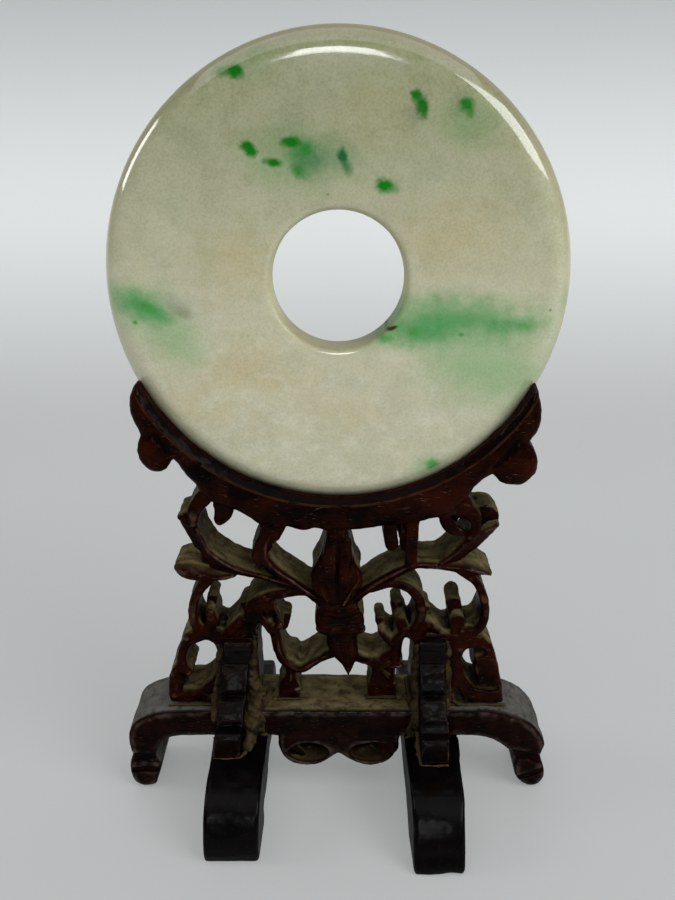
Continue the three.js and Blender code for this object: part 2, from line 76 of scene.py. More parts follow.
class Value:
    """A node's output socket, with arithmetic on numbers."""

    def __init__(self, graph: "Graph", socket: bpy.types.NodeSocket) -> None:
        """Holds the socket and the tree that it is in."""
        self.graph = graph
        self.socket = socket

    def _math(self, operation: str, *values: Any, clamp: bool = False) -> "Value":
        """Adds one Math node.

        Args:
            operation: The Math node's operation.
            values: Its inputs, as sockets or numbers.
            clamp: Whether the result is kept from 0 to 1.

        Returns:
            The node's result.
        """
        settings = {"operation": operation, "use_clamp": clamp}
        return self.graph.node("ShaderNodeMath", settings, dict(enumerate(values)))

    def __add__(self, other: Any) -> "Value":
        """Sum."""
        return self._math("ADD", self, other)

    __radd__ = __add__

    def __sub__(self, other: Any) -> "Value":
        """Difference."""
        return self._math("SUBTRACT", self, other)

    def __rsub__(self, other: Any) -> "Value":
        """Difference, taken from a number."""
        return self._math("SUBTRACT", other, self)

    def __mul__(self, other: Any) -> "Value":
        """Product."""
        return self._math("MULTIPLY", self, other)

    __rmul__ = __mul__

    def __truediv__(self, other: Any) -> "Value":
        """Quotient."""
        return self._math("DIVIDE", self, other)

    def most(self, other: Any) -> "Value":
        """The larger of this and another."""
        return self._math("MAXIMUM", self, other)

    def size(self) -> "Value":
        """The value without its sign."""
        return self._math("ABSOLUTE", self)

    def root(self) -> "Value":
        """Square root."""
        return self._math("SQRT", self)

    def wave(self) -> "Value":
        """Sine."""
        return self._math("SINE", self)

    def clamped(self) -> "Value":
        """The value kept from 0 to 1."""
        return self._math("ADD", self, 0.0, clamp=True)

    def step(self, low: float, high: float) -> "Value":
        """A smooth step.

        Args:
            low: Where the step starts; the result there is 0.
            high: Where it ends; the result there is 1. It may be below low.

        Returns:
            A value from 0 to 1.
        """
        if low > high:
            return 1 - self.step(high, low)
        return self.graph.node(
            "ShaderNodeMapRange",
            {"interpolation_type": "SMOOTHSTEP"},
            {"Value": self, "From Min": low, "From Max": high},
        )


class Graph:
    """A node tree being built."""

    def __init__(self, tree: bpy.types.NodeTree) -> None:
        """Starts on an empty tree."""
        self.tree = tree
        tree.nodes.clear()

    def node(
        self,
        kind: str,
        settings: dict[str, Any] | None = None,
        inputs: dict[str | int, Any] | None = None,
        output: str | int = 0,
    ) -> Value:
        """Adds a node of any type.

        Args:
            kind: The node's type name.
            settings: Its properties, set first.
            inputs: A value or a link for each named or numbered socket.
            output: The output to return.

        Returns:
            The chosen output.
        """
        made = self.tree.nodes.new(kind)
        for name, value in (settings or {}).items():
            setattr(made, name, value)
        for name, value in (inputs or {}).items():
            self.link(value, made.inputs[name])
        if not made.outputs:
            return Value(self, None)
        return Value(self, made.outputs[output])

    def link(self, value: Any, socket: bpy.types.NodeSocket) -> None:
        """Joins a value to a socket, or stores a plain number or colour on it."""
        if isinstance(value, Value):
            self.tree.links.new(value.socket, socket)
        elif isinstance(value, (tuple, list)) and socket.type == "RGBA":
            socket.default_value = (*value[:3], 1.0)
        else:
            socket.default_value = value

    def mix(self, share: Any, low: Any, high: Any, how: str = "MIX") -> Value:
        """Mixes two colours.

        Args:
            share: How much of the second there is, from 0 to 1.
            low: The first colour.
            high: The second colour.
            how: The blend type.

        Returns:
            The mixed colour.
        """
        settings = {"data_type": "RGBA", "blend_type": how, "clamp_factor": True}
        return self.node("ShaderNodeMix", settings, {0: share, 6: low, 7: high}, 2)

    def tinted(self, colour: Value, tint: Colour) -> Value:
        """A colour multiplied by a tint."""
        return self.mix(1.0, colour, tint, "MULTIPLY")

    def vector(self, operation: str, *values: Any, output: int = 0) -> Value:
        """Adds one Vector Math node and returns the chosen output."""
        return self.node("ShaderNodeVectorMath", {"operation": operation}, dict(enumerate(values)), output)

    def scaled(self, vector: Value, times: Value) -> Value:
        """A vector times a number."""
        return self.node("ShaderNodeVectorMath", {"operation": "SCALE"}, {0: vector, "Scale": times})

    def part(self, vector: Value, axis: int) -> Value:
        """One of a vector's three numbers."""
        return self.node("ShaderNodeSeparateXYZ", None, {0: vector}, axis)


class ShaderGraph(Graph):
    """The node tree of one material."""

    def __init__(self, material: bpy.types.Material) -> None:
        """Starts the tree with the piece's own coordinates and its normal."""
        material.use_nodes = True
        super().__init__(material.node_tree)
        self.place = self.node("ShaderNodeTexCoord", output="Object")
        facing = self.node("ShaderNodeNewGeometry", output="Normal")
        self.up = self.part(facing, 2)
        self.ahead = self.part(facing, 1) * -1.0

    def mm(self, axis: int) -> Value:
        """The piece's own X, Y or Z, in millimetres."""
        return self.part(self.place, axis) * (1 / MM)

    def attribute(self, name: str) -> Value:
        """A number kept on the piece's points."""
        return self.node("ShaderNodeAttribute", {"attribute_name": name}, None, "Fac")

    def noise(self, size_mm: float, detail: float = 2.0, stretch: Sequence[float] = (1, 1, 1),
              seed: float = 0.0, rough: float = 0.5) -> Value:
        """Noise in the piece's own coordinates.

        Args:
            size_mm: The size of one patch, in millimetres.
            detail: How many finer layers there are.
            stretch: How many times longer the patches are along X, Y and Z.
            seed: Moves the pattern, in patches.
            rough: How strong the finer layers are.

        Returns:
            A value near 0.5, mostly from 0.25 to 0.75.
        """
        scale = tuple(1.0 / (size_mm * MM * times) for times in stretch)
        shift = tuple(seed * share for share in DRIFT)
        moved = self.node("ShaderNodeMapping", None, {0: self.place, 1: shift, 3: scale})
        return self.node("ShaderNodeTexNoise", None,
                         {"Vector": moved, "Scale": 1.0, "Detail": detail, "Roughness": rough}, 0)

    def patch(self, centre: Point, reach: Point, turn: float = 0.0, ragged: float = 0.0,
              ragged_mm: float = 2.0, seed: float = 0.0) -> Value:
        """A soft oval drawn in X and Z.

        Args:
            centre: Its middle, in millimetres.
            reach: Its half sizes, in millimetres.
            turn: How far it is turned, in degrees, from X towards Z.
            ragged: How far noise pushes its edge, in half sizes.
            ragged_mm: The size of that noise.
            seed: Moves the noise.

        Returns:
            The distance from the middle in half sizes, so the edge is at 1.
        """
        dx, dz = self.mm(0) - centre[0], self.mm(2) - centre[1]
        c, s = math.cos(math.radians(turn)), math.sin(math.radians(turn))
        along, over = (dx * c + dz * s) * (1 / reach[0]), (dz * c - dx * s) * (1 / reach[1])
        distance = (along * along + over * over).root()
        if ragged:
            distance = distance + (self.noise(ragged_mm, 3.0, seed=seed) - 0.5) * (2.0 * ragged)
        return distance

    def bump(self, height: Value, depth_mm: float) -> Value:
        """A normal that follows a height, where 1 stands depth_mm proud of 0."""
        return self.node("ShaderNodeBump", None,
                         {"Height": height, "Distance": depth_mm * MM, "Strength": 1.0})

    def finish(self, varying: dict[str, Value], constants: dict[str, Any]) -> None:
        """Ends the tree in a Principled shader.

        Args:
            varying: What changes over the surface, by socket name.
            constants: What is the same all over, by socket name.
        """
        shader = self.node("ShaderNodeBsdfPrincipled", None, {**constants, **varying})
        self.node("ShaderNodeOutputMaterial", None, {"Surface": shader})


# ----- Carving: forms held as distances, and the block of wood that they are joined to and cut from


def soft_least(a: Array, b: Array, blend: float) -> Array:
    """The smaller of two distances, with a fillet of about a quarter of blend where they meet."""
    if blend <= 0:
        return np.minimum(a, b)
    share = np.clip(0.5 + 0.5 * (b - a) / blend, 0, 1)
    return b + (a - b) * share - blend * share * (1 - share)


def soft_most(a: Array, b: Array, blend: float) -> Array:
    """The larger of two distances, with the edge where they meet rounded off."""
    return -soft_least(-a, -b, blend)


SMALLEST_GAP = 1e-6  # keeps two points at one place from dividing by nothing
SMALLEST_SQUARE = 1e-9


def flowing(points: Sequence[Sequence[float]], steps: int) -> Array:
    """Draws a smooth line through points.

    Args:
        points: The points; their first two numbers say how far apart they are.
        steps: Samples between two points.

    Returns:
        The samples, with every number of the points carried along.
    """
    rows = np.array(points, float)
    rows = np.vstack([2 * rows[0] - rows[1], rows, 2 * rows[-1] - rows[-2]])
    gaps = np.sqrt(np.maximum(np.hypot(*np.diff(rows[:, :2], axis=0).T), SMALLEST_GAP))
    samples = []
    for i in range(1, len(rows) - 2):
        t = np.concatenate([[0], np.cumsum(gaps[i - 1 : i + 2])])
        for u in np.linspace(t[1], t[2], steps, endpoint=False):
            near = rows[i - 1 : i + 3]
            a = [near[k] + (near[k + 1] - near[k]) * (u - t[k]) / (t[k + 1] - t[k]) for k in range(3)]
            b = [a[k] + (a[k + 1] - a[k]) * (u - t[k]) / (t[k + 2] - t[k]) for k in range(2)]
            samples.append(b[0] + (b[1] - b[0]) * (u - t[1]) / (t[2] - t[1]))
    return np.array([*samples, rows[-2]])


def outline_distance(u: Array, v: Array, outline: Array) -> Array:
    """Signed distance to a closed outline, below zero inside it."""
    nearest = np.full(np.broadcast(u, v).shape, np.inf)
    inside = np.zeros(nearest.shape, bool)
    for a, b in zip(outline, np.roll(outline, -1, axis=0)):
        edge = b - a
        share = ((u - a[0]) * edge[0] + (v - a[1]) * edge[1]) / max(edge @ edge, SMALLEST_SQUARE)
        share = np.clip(share, 0, 1)
        nearest = np.minimum(nearest, (u - a[0] - share * edge[0]) ** 2 + (v - a[1] - share * edge[1]) ** 2)
        if a[1] != b[1]:
            inside ^= ((a[1] > v) != (b[1] > v)) & (u < (v - a[1]) * edge[0] / edge[1] + a[0])
    return np.where(inside, -1.0, 1.0) * np.sqrt(nearest)


ROUNDNESS = 0.95  # of a half circle, which at 1 would meet its sides upright
PATH_STEPS = 5  # samples between two points of a stroke
ROOM = 0.9  # millimetres round a form that a fillet may take
END_ROOM = 0.5  # the same in front of it and behind it


class Face(Enum):
    """How the front of a carved stroke is worked across its width."""

    FLAT = "flat"
    ROUND = "round"
    RIDGE = "two facets that meet at a crest"


class Form(Protocol):
    """A solid that knows its box and the distance to its surface, in millimetres."""

    def box(self) -> tuple[Array, Array]:
        """Lowest and highest corner, with room for a fillet."""

    def distance(self, x: Array, y: Array, z: Array) -> Array:
        """Distance to the surface, below zero inside."""


@dataclass(frozen=True)
class Stroke:
    """A carved stroke: a line in X and Z of changing width, cut from front to back."""

    line: tuple[Place, ...]
    face: Face = Face.ROUND
    front: Point = (-2.7, -2.7)
    back: float = 3.9
    fall: float = 0.45
    crest: float = 0.0
    eased: float = 0.35

    def box(self) -> tuple[Array, Array]:
        """Lowest and highest corner."""
        rows = np.array(self.line)
        reach = rows[:, 2].max() / 2 + ROOM
        low, high = rows[:, :2].min(0) - reach, rows[:, :2].max(0) + reach
        front, back = min(self.front) - END_ROOM, self.back + END_ROOM
        return np.array([low[0], front, low[1]]), np.array([high[0], back, high[1]])

    def distance(self, x: Array, y: Array, z: Array) -> Array:
        """Distance to the stroke."""
        path = flowing(self.line, PATH_STEPS)
        edge = np.full(np.broadcast(x, z).shape, np.inf)
        side, along = np.zeros(edge.shape), np.zeros(edge.shape)
        for i, (a, b) in enumerate(zip(path[:-1], path[1:])):
            ex, ez = b[0] - a[0], b[1] - a[1]
            share = ((x - a[0]) * ex + (z - a[1]) * ez) / max(ex * ex + ez * ez, SMALLEST_SQUARE)
            share = np.clip(share, 0, 1)
            dx, dz = x - a[0] - share * ex, z - a[1] - share * ez
            half = (a[2] + share * (b[2] - a[2])) / 2
            reach = np.hypot(dx, dz)
            near = reach - half < edge
            edge = np.where(near, reach - half, edge)
            side = np.where(near, np.sign(ex * dz - ez * dx) * reach / half, side)
            along = np.where(near, (i + share) / (len(path) - 1), along)
        front = self.front[0] + (self.front[1] - self.front[0]) * along + self._relief(np.clip(side, -1, 1))
        return soft_most(soft_most(edge, front - y, self.eased), y - self.back, self.eased)

    def _relief(self, side: Array) -> Array:
        """How far the face lies behind its highest line, across the width."""
        if self.face is Face.FLAT:
            return 0 * side
        if self.face is Face.ROUND:
            return self.fall * (1 - np.sqrt(1 - ROUNDNESS * side**2))
        up, down = 1 - self.crest, 1 + self.crest
        return self.fall * np.maximum((side - self.crest) / up, (self.crest - side) / down)


@dataclass(frozen=True)
class Board:
    """An outline cut from a board. Its face may be domed towards the outline."""

    outline: tuple[Point, ...]
    near: float
    far: float
    axis: str = "y"
    dome: float = 0.0
    dome_width: float = 1.5
    eased: float = 0.4
    steps: int = 3

    def box(self) -> tuple[Array, Array]:
        """Lowest and highest corner."""
        rows = np.array(self.outline)
        (u0, w0), (u1, w1) = rows.min(0) - 1, rows.max(0) + 1
        near, far = self.near - END_ROOM, self.far + END_ROOM
        if self.axis == "y":
            return np.array([u0, near, w0]), np.array([u1, far, w1])
        return np.array([near, u0, w0]), np.array([far, u1, w1])

    def distance(self, x: Array, y: Array, z: Array) -> Array:
        """Distance to the board."""
        across, through = (x, y) if self.axis == "y" else (y, x)
        points = flowing(self.outline, self.steps) if self.steps > 1 else np.array(self.outline)
        edge = outline_distance(across, z, points)
        near, far = self.near, self.far
        if self.dome:
            near = near + self.dome * np.clip(1 + edge / self.dome_width, 0, 1) ** 2
        return soft_most(soft_most(edge, near - through, self.eased), through - far, self.eased)


@dataclass(frozen=True)
class Gouge:
    """A round cut or a bead that runs through points of (x, y, z, radius)."""

    path: tuple[Row, ...]
    flat: Place = (1.0, 1.0, 1.0)

    def box(self) -> tuple[Array, Array]:
        """Lowest and highest corner."""
        rows = np.array(self.path)
        reach = rows[:, 3].max() * np.array(self.flat) + ROOM
        return rows[:, :3].min(0) - reach, rows[:, :3].max(0) + reach

    def distance(self, x: Array, y: Array, z: Array) -> Array:
        """Distance to the cut."""
        nearest = np.full(np.broadcast(x, y, z).shape, np.inf)
        scale = np.array(self.flat)
        rows = [(np.array(row[:3]) / scale, row[3]) for row in self.path]
        x, y, z = x / scale[0], y / scale[1], z / scale[2]
        for (a, ra), (b, rb) in zip(rows[:-1] or rows, rows[1:] or rows):
            e = b - a
            dx, dy, dz = x - a[0], y - a[1], z - a[2]
            share = (dx * e[0] + dy * e[1] + dz * e[2]) / max(e @ e, SMALLEST_SQUARE)
            share = np.clip(share, 0, 1)
            gap = (dx - share * e[0]) ** 2 + (dy - share * e[1]) ** 2 + (dz - share * e[2]) ** 2
            nearest = np.minimum(nearest, np.sqrt(gap) - ra - share * (rb - ra))
        return nearest * scale.min()


@dataclass(frozen=True)
class Turned:
    """The jade's rounded disc with some room round it, to hollow the groove that it stands in."""

    centre: Place
    radius: float
    half: float
    edge: float
    lean: float

    def box(self) -> tuple[Array, Array]:
        """Lowest and highest corner."""
        reach = np.array([self.radius, self.half + self.radius * math.sin(self.lean), self.radius]) + 1
        return np.array(self.centre) - reach, np.array(self.centre) + reach

    def distance(self, x: Array, y: Array, z: Array) -> Array:
        """Distance to the disc."""
        c, s = math.cos(self.lean), math.sin(self.lean)
        dy, dz = y - self.centre[1], z - self.centre[2]
        radial = np.hypot(x - self.centre[0], dz * c + dy * s)
        through = np.abs(dy * c - dz * s)
        out = np.maximum(radial - (self.radius - self.edge), 0) * (self.half / self.edge)
        return np.hypot(out, through) - self.half


GRID_MARGIN = 2.5  # grid steps of air round a block
NEAR_BLUR, WIDE_BLUR = 6, 26  # how often distances are averaged to find edges and hollows
EDGE_FROM, EDGE_GAIN = 0.4, 1.8
HOLLOW_FROM, HOLLOW_GAIN = 0.1, 0.9


class Block:
    """A block of wood on a grid of distances, in millimetres: below zero is wood."""

    def __init__(self, low: Sequence[float], high: Sequence[float], step: float) -> None:
        """Starts with air only.

        Args:
            low: The lowest corner that wood may reach.
            high: The highest corner.
            step: The grid's spacing.
        """
        self.step = step
        margin = GRID_MARGIN * step
        self.low = np.array(low, float) - margin
        count = np.ceil((np.array(high, float) + margin - self.low) / step).astype(int) + 1
        self.axes = [self.low[i] + step * np.arange(count[i]) for i in range(3)]
        self.field = np.full(count, FAR, np.float32)

    def _window(self, form: Form) -> tuple[tuple[slice, ...], list[Array]]:
        """The part of the grid that a form can reach, and its coordinates."""
        low, high = form.box()
        spans, axes = [], []
        for i in range(3):
            start = int(np.searchsorted(self.axes[i], low[i]))
            end = int(np.searchsorted(self.axes[i], high[i]))
            spans.append(slice(start, max(end, start + 1)))
            shape = [1, 1, 1]
            shape[i] = -1
            axes.append(self.axes[i][spans[i]].reshape(shape))
        return tuple(spans), axes

    def join(self, *forms: Form, blend: float = 0.35) -> "Block":
        """Adds wood."""
        for form in forms:
            window, axes = self._window(form)
            joined = soft_least(form.distance(*axes), self.field[window], blend)
            self.field[window] = np.clip(joined, -FAR, FAR)
        return self

    def cut(self, *forms: Form, blend: float = 0.15) -> "Block":
        """Takes wood away."""
        for form in forms:
            window, axes = self._window(form)
            left = soft_most(-form.distance(*axes), self.field[window], blend)
            self.field[window] = np.clip(left, -FAR, FAR)
        return self

    def ripple(self, spacing: float, depth: float, seed: int) -> "Block":
        """Gives every surface the slow unevenness that a knife and long handling leave.

        Args:
            spacing: The distance between its waves.
            depth: How far the surface moves.
            seed: Seed of the pattern.

        Returns:
            This block.
        """
        draw = np.random.default_rng(seed)
        span = [int(math.ceil((axis[-1] - axis[0]) / spacing)) + 3 for axis in self.axes]
        waves = draw.standard_normal(span)
        for i, axis in enumerate(self.axes):
            place = (axis - axis[0]) / spacing
            first = place.astype(int)
            share = place - first
            share = (share * share * (3 - 2 * share)).reshape([-1 if k == i else 1 for k in range(3)])
            waves = np.take(waves, first, i) * (1 - share) + np.take(waves, first + 1, i) * share
        self.field += (depth * waves).astype(np.float32)
        return self

    def kept_within(self, low: Sequence[float], high: Sequence[float]) -> "Block":
        """Cuts everything off flat at a box."""
        for i in range(3):
            axis = self.axes[i].reshape([-1 if k == i else 1 for k in range(3)])
            self.field = np.maximum(self.field, np.maximum(low[i] - axis, axis - high[i])).astype(np.float32)
        return self

    def _blurred(self, times: int) -> Array:
        """The distances, averaged over a few grid steps."""
        soft = self.field.copy()
        for _ in range(times):
            for axis in range(3):
                soft = (soft + 0.5 * (np.roll(soft, 1, axis) + np.roll(soft, -1, axis))) * 0.5
        return soft

    def _sampled(self, grid: Array, places: Array) -> Array:
        """Reads a grid at places in millimetres."""
        spot = (places - self.low) / self.step
        first = np.clip(spot.astype(int), 0, np.array(grid.shape) - 2)
        share = np.clip(spot - first, 0, 1)
        total = np.zeros(len(places))
        for corner in np.ndindex(2, 2, 2):
            weight = np.prod(np.where(corner, share, 1 - share), axis=1)
            total += weight * grid[tuple((first + corner).T)]
        return total

    def drawn(self, name: str, most: int, shaped: Callable[[Array], Array] | None = None) -> bpy.types.Object:
        """Draws the wood's surface as a mesh with its edges and hollows marked.

        Args:
            name: The piece's name.
            most: The most triangles that it may have.
            shaped: Moves the finished points, in millimetres, to where they belong.

        Returns:
            The piece, in metres. Its points carry "edge", which is high on worn edges, and "hollow",
            which is high where the wood closes in around a place.
        """
        points, faces = surface_net(self.field)
        mesh = bpy.data.meshes.new(name)
        fill_mesh(mesh, (self.low + self.step * points) * MM, faces)
        piece = bpy.data.objects.new(name, mesh)
        bpy.context.scene.collection.objects.link(piece)
        triangles = 2 * len(faces)
        if triangles > most:
            thinned = piece.modifiers.new("thinned", "DECIMATE")
            thinned.ratio = most / triangles
            piece = settled(piece)
        places = np.empty(len(piece.data.vertices) * 3)
        piece.data.vertices.foreach_get("co", places)
        places = places.reshape(-1, 3) / MM
        near, wide = self._blurred(NEAR_BLUR), self._blurred(WIDE_BLUR)
        bend = self._sampled(near - self.field, places) / self.step
        closeness = self._sampled(self.field - wide, places) / self.step
        marks = {"edge": (bend - EDGE_FROM) * EDGE_GAIN, "hollow": (closeness - HOLLOW_FROM) * HOLLOW_GAIN}
        for label, values in marks.items():
            store = piece.data.attributes.new(label, "FLOAT", "POINT")
            store.data.foreach_set("value", np.clip(values, 0, 1).astype(np.float32))
        if shaped:
            piece.data.vertices.foreach_set("co", (shaped(places) * MM).astype(np.float32).ravel())
        piece.data.shade_smooth()
        return piece


def surface_net(grid: Array) -> tuple[Array, Array]:
    """Draws quads over the zero level of a grid.

    Args:
        grid: Distances; below zero is inside.

    Returns:
        The points, in grid steps, and the faces, which look outwards.
    """
    inside = grid < 0
    corners = [np.array(corner) for corner in np.ndindex(2, 2, 2)]
    total = sum(inside[tuple(slice(c, n - 1 + c) for c, n in zip(corner, grid.shape))].astype(np.int8)
                for corner in corners)
    cells = np.argwhere((total > 0) & (total < 8))
    number = np.full(total.shape, -1, np.int64)
    number[tuple(cells.T)] = np.arange(len(cells))
    place, hits = np.zeros((len(cells), 3)), np.zeros(len(cells))
    for a in corners:
        for axis in range(3):
            if a[axis]:
                continue
            b = a + np.eye(3, dtype=int)[axis]
            va, vb = grid[tuple((cells + a).T)], grid[tuple((cells + b).T)]
            hit = (va < 0) != (vb < 0)
            share = np.where(hit, va / np.where(hit, va - vb, 1), 0)
            place += hit[:, None] * (a + share[:, None] * (b - a))
            hits += hit
    faces = []
    for axis in range(3):
        u, v = (axis + 1) % 3, (axis + 2) % 3
        low = inside[tuple(slice(None, -1) if k == axis else slice(None) for k in range(3))]
        high = inside[tuple(slice(1, None) if k == axis else slice(None) for k in range(3))]
        edges = np.argwhere(low != high)
        ring = []
        for du, dv in ((0, 0), (1, 0), (1, 1), (0, 1)):
            cell = edges.copy()
            cell[:, u] -= du
            cell[:, v] -= dv
            ring.append(number[tuple(cell.T)])
        quads = np.stack(ring, 1)
        outwards = low[tuple(edges.T)]
        faces.append(np.where(outwards[:, None], quads, quads[:, ::-1]))
    return cells + place / hits[:, None], np.vstack(faces)


def fill_mesh(mesh: bpy.types.Mesh, points: Array, faces: Array) -> None:
    """Stores points and four-sided faces in an empty mesh."""
    mesh.vertices.add(len(points))
    mesh.vertices.foreach_set("co", np.ascontiguousarray(points, np.float32).ravel())
    mesh.loops.add(faces.size)
    mesh.loops.foreach_set("vertex_index", np.ascontiguousarray(faces, np.int32).ravel())
    mesh.polygons.add(len(faces))
    mesh.polygons.foreach_set("loop_start", np.arange(0, faces.size, 4, dtype=np.int32))
    mesh.update(calc_edges=True)
    mesh.validate()


def settled(piece: bpy.types.Object) -> bpy.types.Object:
    """Turns what a piece's modifiers make of it into its plain mesh."""
    graph = bpy.context.evaluated_depsgraph_get()
    graph.update()
    made = bpy.data.meshes.new_from_object(piece.evaluated_get(graph), depsgraph=graph)
    piece.modifiers.clear()
    old, piece.data = piece.data, made
    bpy.data.meshes.remove(old)
    made.name = piece.name
    return piece


def dressed(piece: bpy.types.Object, material: bpy.types.Material,
            nodes: Sequence[str] = ()) -> bpy.types.Object:
    """Gives a finished piece its material and its place in the model.

    Args:
        piece: The piece.
        material: Its material.
        nodes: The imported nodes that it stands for.

    Returns:
        The piece.
    """
    piece.data.materials.clear()
    piece.data.materials.append(material)
    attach(piece, "root")
    if nodes:
        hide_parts(*nodes)
    LOG.info("%s: %d faces", piece.name, len(piece.data.polygons))
    return piece


# ----- The ring and the old glue: geometry node trees, and the pieces that they make


class GeometryTree(Graph):
    """A geometry node tree with named inputs."""

    def __init__(self, name: str, inputs: Sequence[tuple[str, str, Any]]) -> None:
        """Starts the tree.

        Args:
            name: The tree's name.
            inputs: For each input its name, its socket type and its usual value.
        """
        super().__init__(bpy.data.node_groups.new(name, "GeometryNodeTree"))
        face = self.tree.interface
        face.new_socket(name="Geometry", in_out="INPUT", socket_type="NodeSocketGeometry")
        face.new_socket(name="Geometry", in_out="OUTPUT", socket_type="NodeSocketGeometry")
        for label, kind, usual in inputs:
            socket = face.new_socket(name=label, in_out="INPUT", socket_type=kind)
            if usual is not None:
                socket.default_value = usual
        self.entry = self.tree.nodes.new("NodeGroupInput")
        self.geometry = Value(self, self.entry.outputs["Geometry"])

    def given(self, label: str) -> Value:
        """One of the tree's inputs."""
        return Value(self, self.entry.outputs[label])

    def end(self, geometry: Value) -> bpy.types.NodeTree:
        """Realises the geometry, gives it the material and closes the tree."""
        real = self.node("GeometryNodeRealizeInstances", None, {0: geometry})
        smooth = self.node("GeometryNodeSetShadeSmooth", None, {0: real})
        dressing = {"Geometry": smooth, "Material": self.given("Material")}
        done = self.node("GeometryNodeSetMaterial", None, dressing)
        self.node("NodeGroupOutput", None, {"Geometry": done})
        return self.tree


def made_by(tree: bpy.types.NodeTree, name: str, points: Array, edges: Sequence[tuple[int, int]],
            inputs: dict[str, Any], numbers: dict[str, Array] | None = None) -> bpy.types.Object:
    """Runs a geometry node tree on a line drawing and keeps the result as a plain mesh.

    Args:
        tree: The tree.
        name: The piece's name.
        points: The drawing's points, in metres.
        edges: Which points are joined.
        inputs: A value for each named input.
        numbers: Numbers kept on the drawing's points, by name.

    Returns:
        The piece.
    """
    mesh = bpy.data.meshes.new(name)
    mesh.from_pydata(points.tolist(), list(edges), [])
    for label, values in (numbers or {}).items():
        mesh.attributes.new(label, "FLOAT", "POINT").data.foreach_set("value", values.astype(np.float32))
    piece = bpy.data.objects.new(name, mesh)
    bpy.context.scene.collection.objects.link(piece)
    modifier = piece.modifiers.new("made", "NODES")
    modifier.node_group = tree
    sockets = {item.name: item.identifier for item in tree.interface.items_tree if item.in_out == "INPUT"}
    for label, value in inputs.items():
        modifier[sockets[label]] = value
    return settled(piece)


RING_WAVES, RISE_SHARE = 90.0, 0.3  # waves in a metre of the ring's face; how much of one goes upwards
BEAD_WAVES, LUMP_WAVES = 900.0, 2200.0  # the same along a bead of glue and over its skin
THINNEST = 0.25  # the thinnest that a bead gets, as a share
BEAD_SIDES = 10
MERGED = 1e-6  # metres


def turned_ring_tree() -> bpy.types.NodeTree:
    """A tree that turns a profile of (radius, depth) about a leaning axis."""
    g = GeometryTree("Turned ring", [
        ("Segments", "NodeSocketInt", 64), ("Profile Steps", "NodeSocketInt", 32),
        ("Lean", "NodeSocketFloat", 0.0), ("Centre", "NodeSocketVector", None),
        ("Unevenness", "NodeSocketFloat", 0.0), ("Material", "NodeSocketMaterial", None),
    ])
    profile = g.node("GeometryNodeMeshToCurve", None, {0: g.geometry})
    sheet = g.node("GeometryNodeMeshGrid", None, {"Size X": 1.0, "Size Y": 1.0,
                                                  "Vertices X": g.given("Segments") + 1,
                                                  "Vertices Y": g.given("Profile Steps") + 1})
    place = g.node("GeometryNodeInputPosition")
    u, v = g.part(place, 0) + 0.5, g.part(place, 1) + 0.5
    at = g.node("GeometryNodeSampleCurve", {"mode": "FACTOR", "use_all_curves": True},
                {"Curves": profile, "Factor": v}, "Position")
    radius, depth = g.part(at, 0), g.part(at, 1)
    angle = u * (2 * math.pi)
    x, h = radius * (angle + math.pi / 2).wave(), radius * angle.wave()
    lean = g.given("Lean")
    c, s = (lean + math.pi / 2).wave(), lean.wave()
    y, z = depth * c + h * s, h * c - depth * s
    spot = g.node("ShaderNodeCombineXYZ", None, {0: x, 1: y, 2: z})
    wavy = g.node("ShaderNodeTexNoise", None, {"Vector": spot, "Scale": RING_WAVES, "Detail": 1.0}, 0) - 0.5
    off = wavy * g.given("Unevenness")
    spot = g.node("ShaderNodeCombineXYZ", None, {0: x, 1: y + off, 2: z + off * RISE_SHARE})
    centred = g.vector("ADD", spot, g.given("Centre"))
    turned = g.node("GeometryNodeSetPosition", None, {"Geometry": sheet, "Position": centred})
    closed = g.node("GeometryNodeMergeByDistance", None, {"Geometry": turned, "Distance": MERGED})
    return g.end(closed)


def seam_tree() -> bpy.types.NodeTree:
    """A tree that lays an uneven bead of glue along each line of a drawing."""
    g = GeometryTree("Glue seam", [
        ("Spacing", "NodeSocketFloat", 0.0002), ("Unevenness", "NodeSocketFloat", 0.4),
        ("Lumps", "NodeSocketFloat", 0.0002), ("Seed", "NodeSocketFloat", 3.0),
        ("Material", "NodeSocketMaterial", None),
    ])
    wide = g.node("GeometryNodeInputNamedAttribute", {"data_type": "FLOAT"}, {"Name": "thickness"})
    curve = g.node("GeometryNodeMeshToCurve", None, {0: g.geometry})
    fine = g.node("GeometryNodeResampleCurve", {"mode": "LENGTH"},
                  {"Curve": curve, "Length": g.given("Spacing")})
    place = g.node("GeometryNodeInputPosition")
    noise = g.node("ShaderNodeTexNoise", {"noise_dimensions": "4D"},
                   {"Vector": place, "W": g.given("Seed"), "Scale": BEAD_WAVES, "Detail": 2.0}, 0)
    swelling = ((noise - 0.5) * 2.0 * g.given("Unevenness") + 1.0).most(THINNEST)
    sized = g.node("GeometryNodeSetCurveRadius", None, {"Curve": fine, "Radius": wide * swelling})
    ring = g.node("GeometryNodeCurvePrimitiveCircle", None, {"Resolution": BEAD_SIDES, "Radius": 1.0})
    thick = g.node("GeometryNodeInputRadius")
    tube = g.node("GeometryNodeCurveToMesh", None,
                  {"Curve": sized, "Profile Curve": ring, "Scale": thick, "Fill Caps": True})
    rough = g.node("ShaderNodeTexNoise", {"noise_dimensions": "4D"},
                   {"Vector": place, "W": g.given("Seed") + 7.0, "Scale": LUMP_WAVES, "Detail": 2.0}, 1)
    push = g.scaled(g.vector("SUBTRACT", rough, (0.5, 0.5, 0.5)), g.given("Lumps"))
    lumpy = g.node("GeometryNodeSetPosition", None, {"Geometry": tube, "Offset": push})
    return g.end(lumpy)


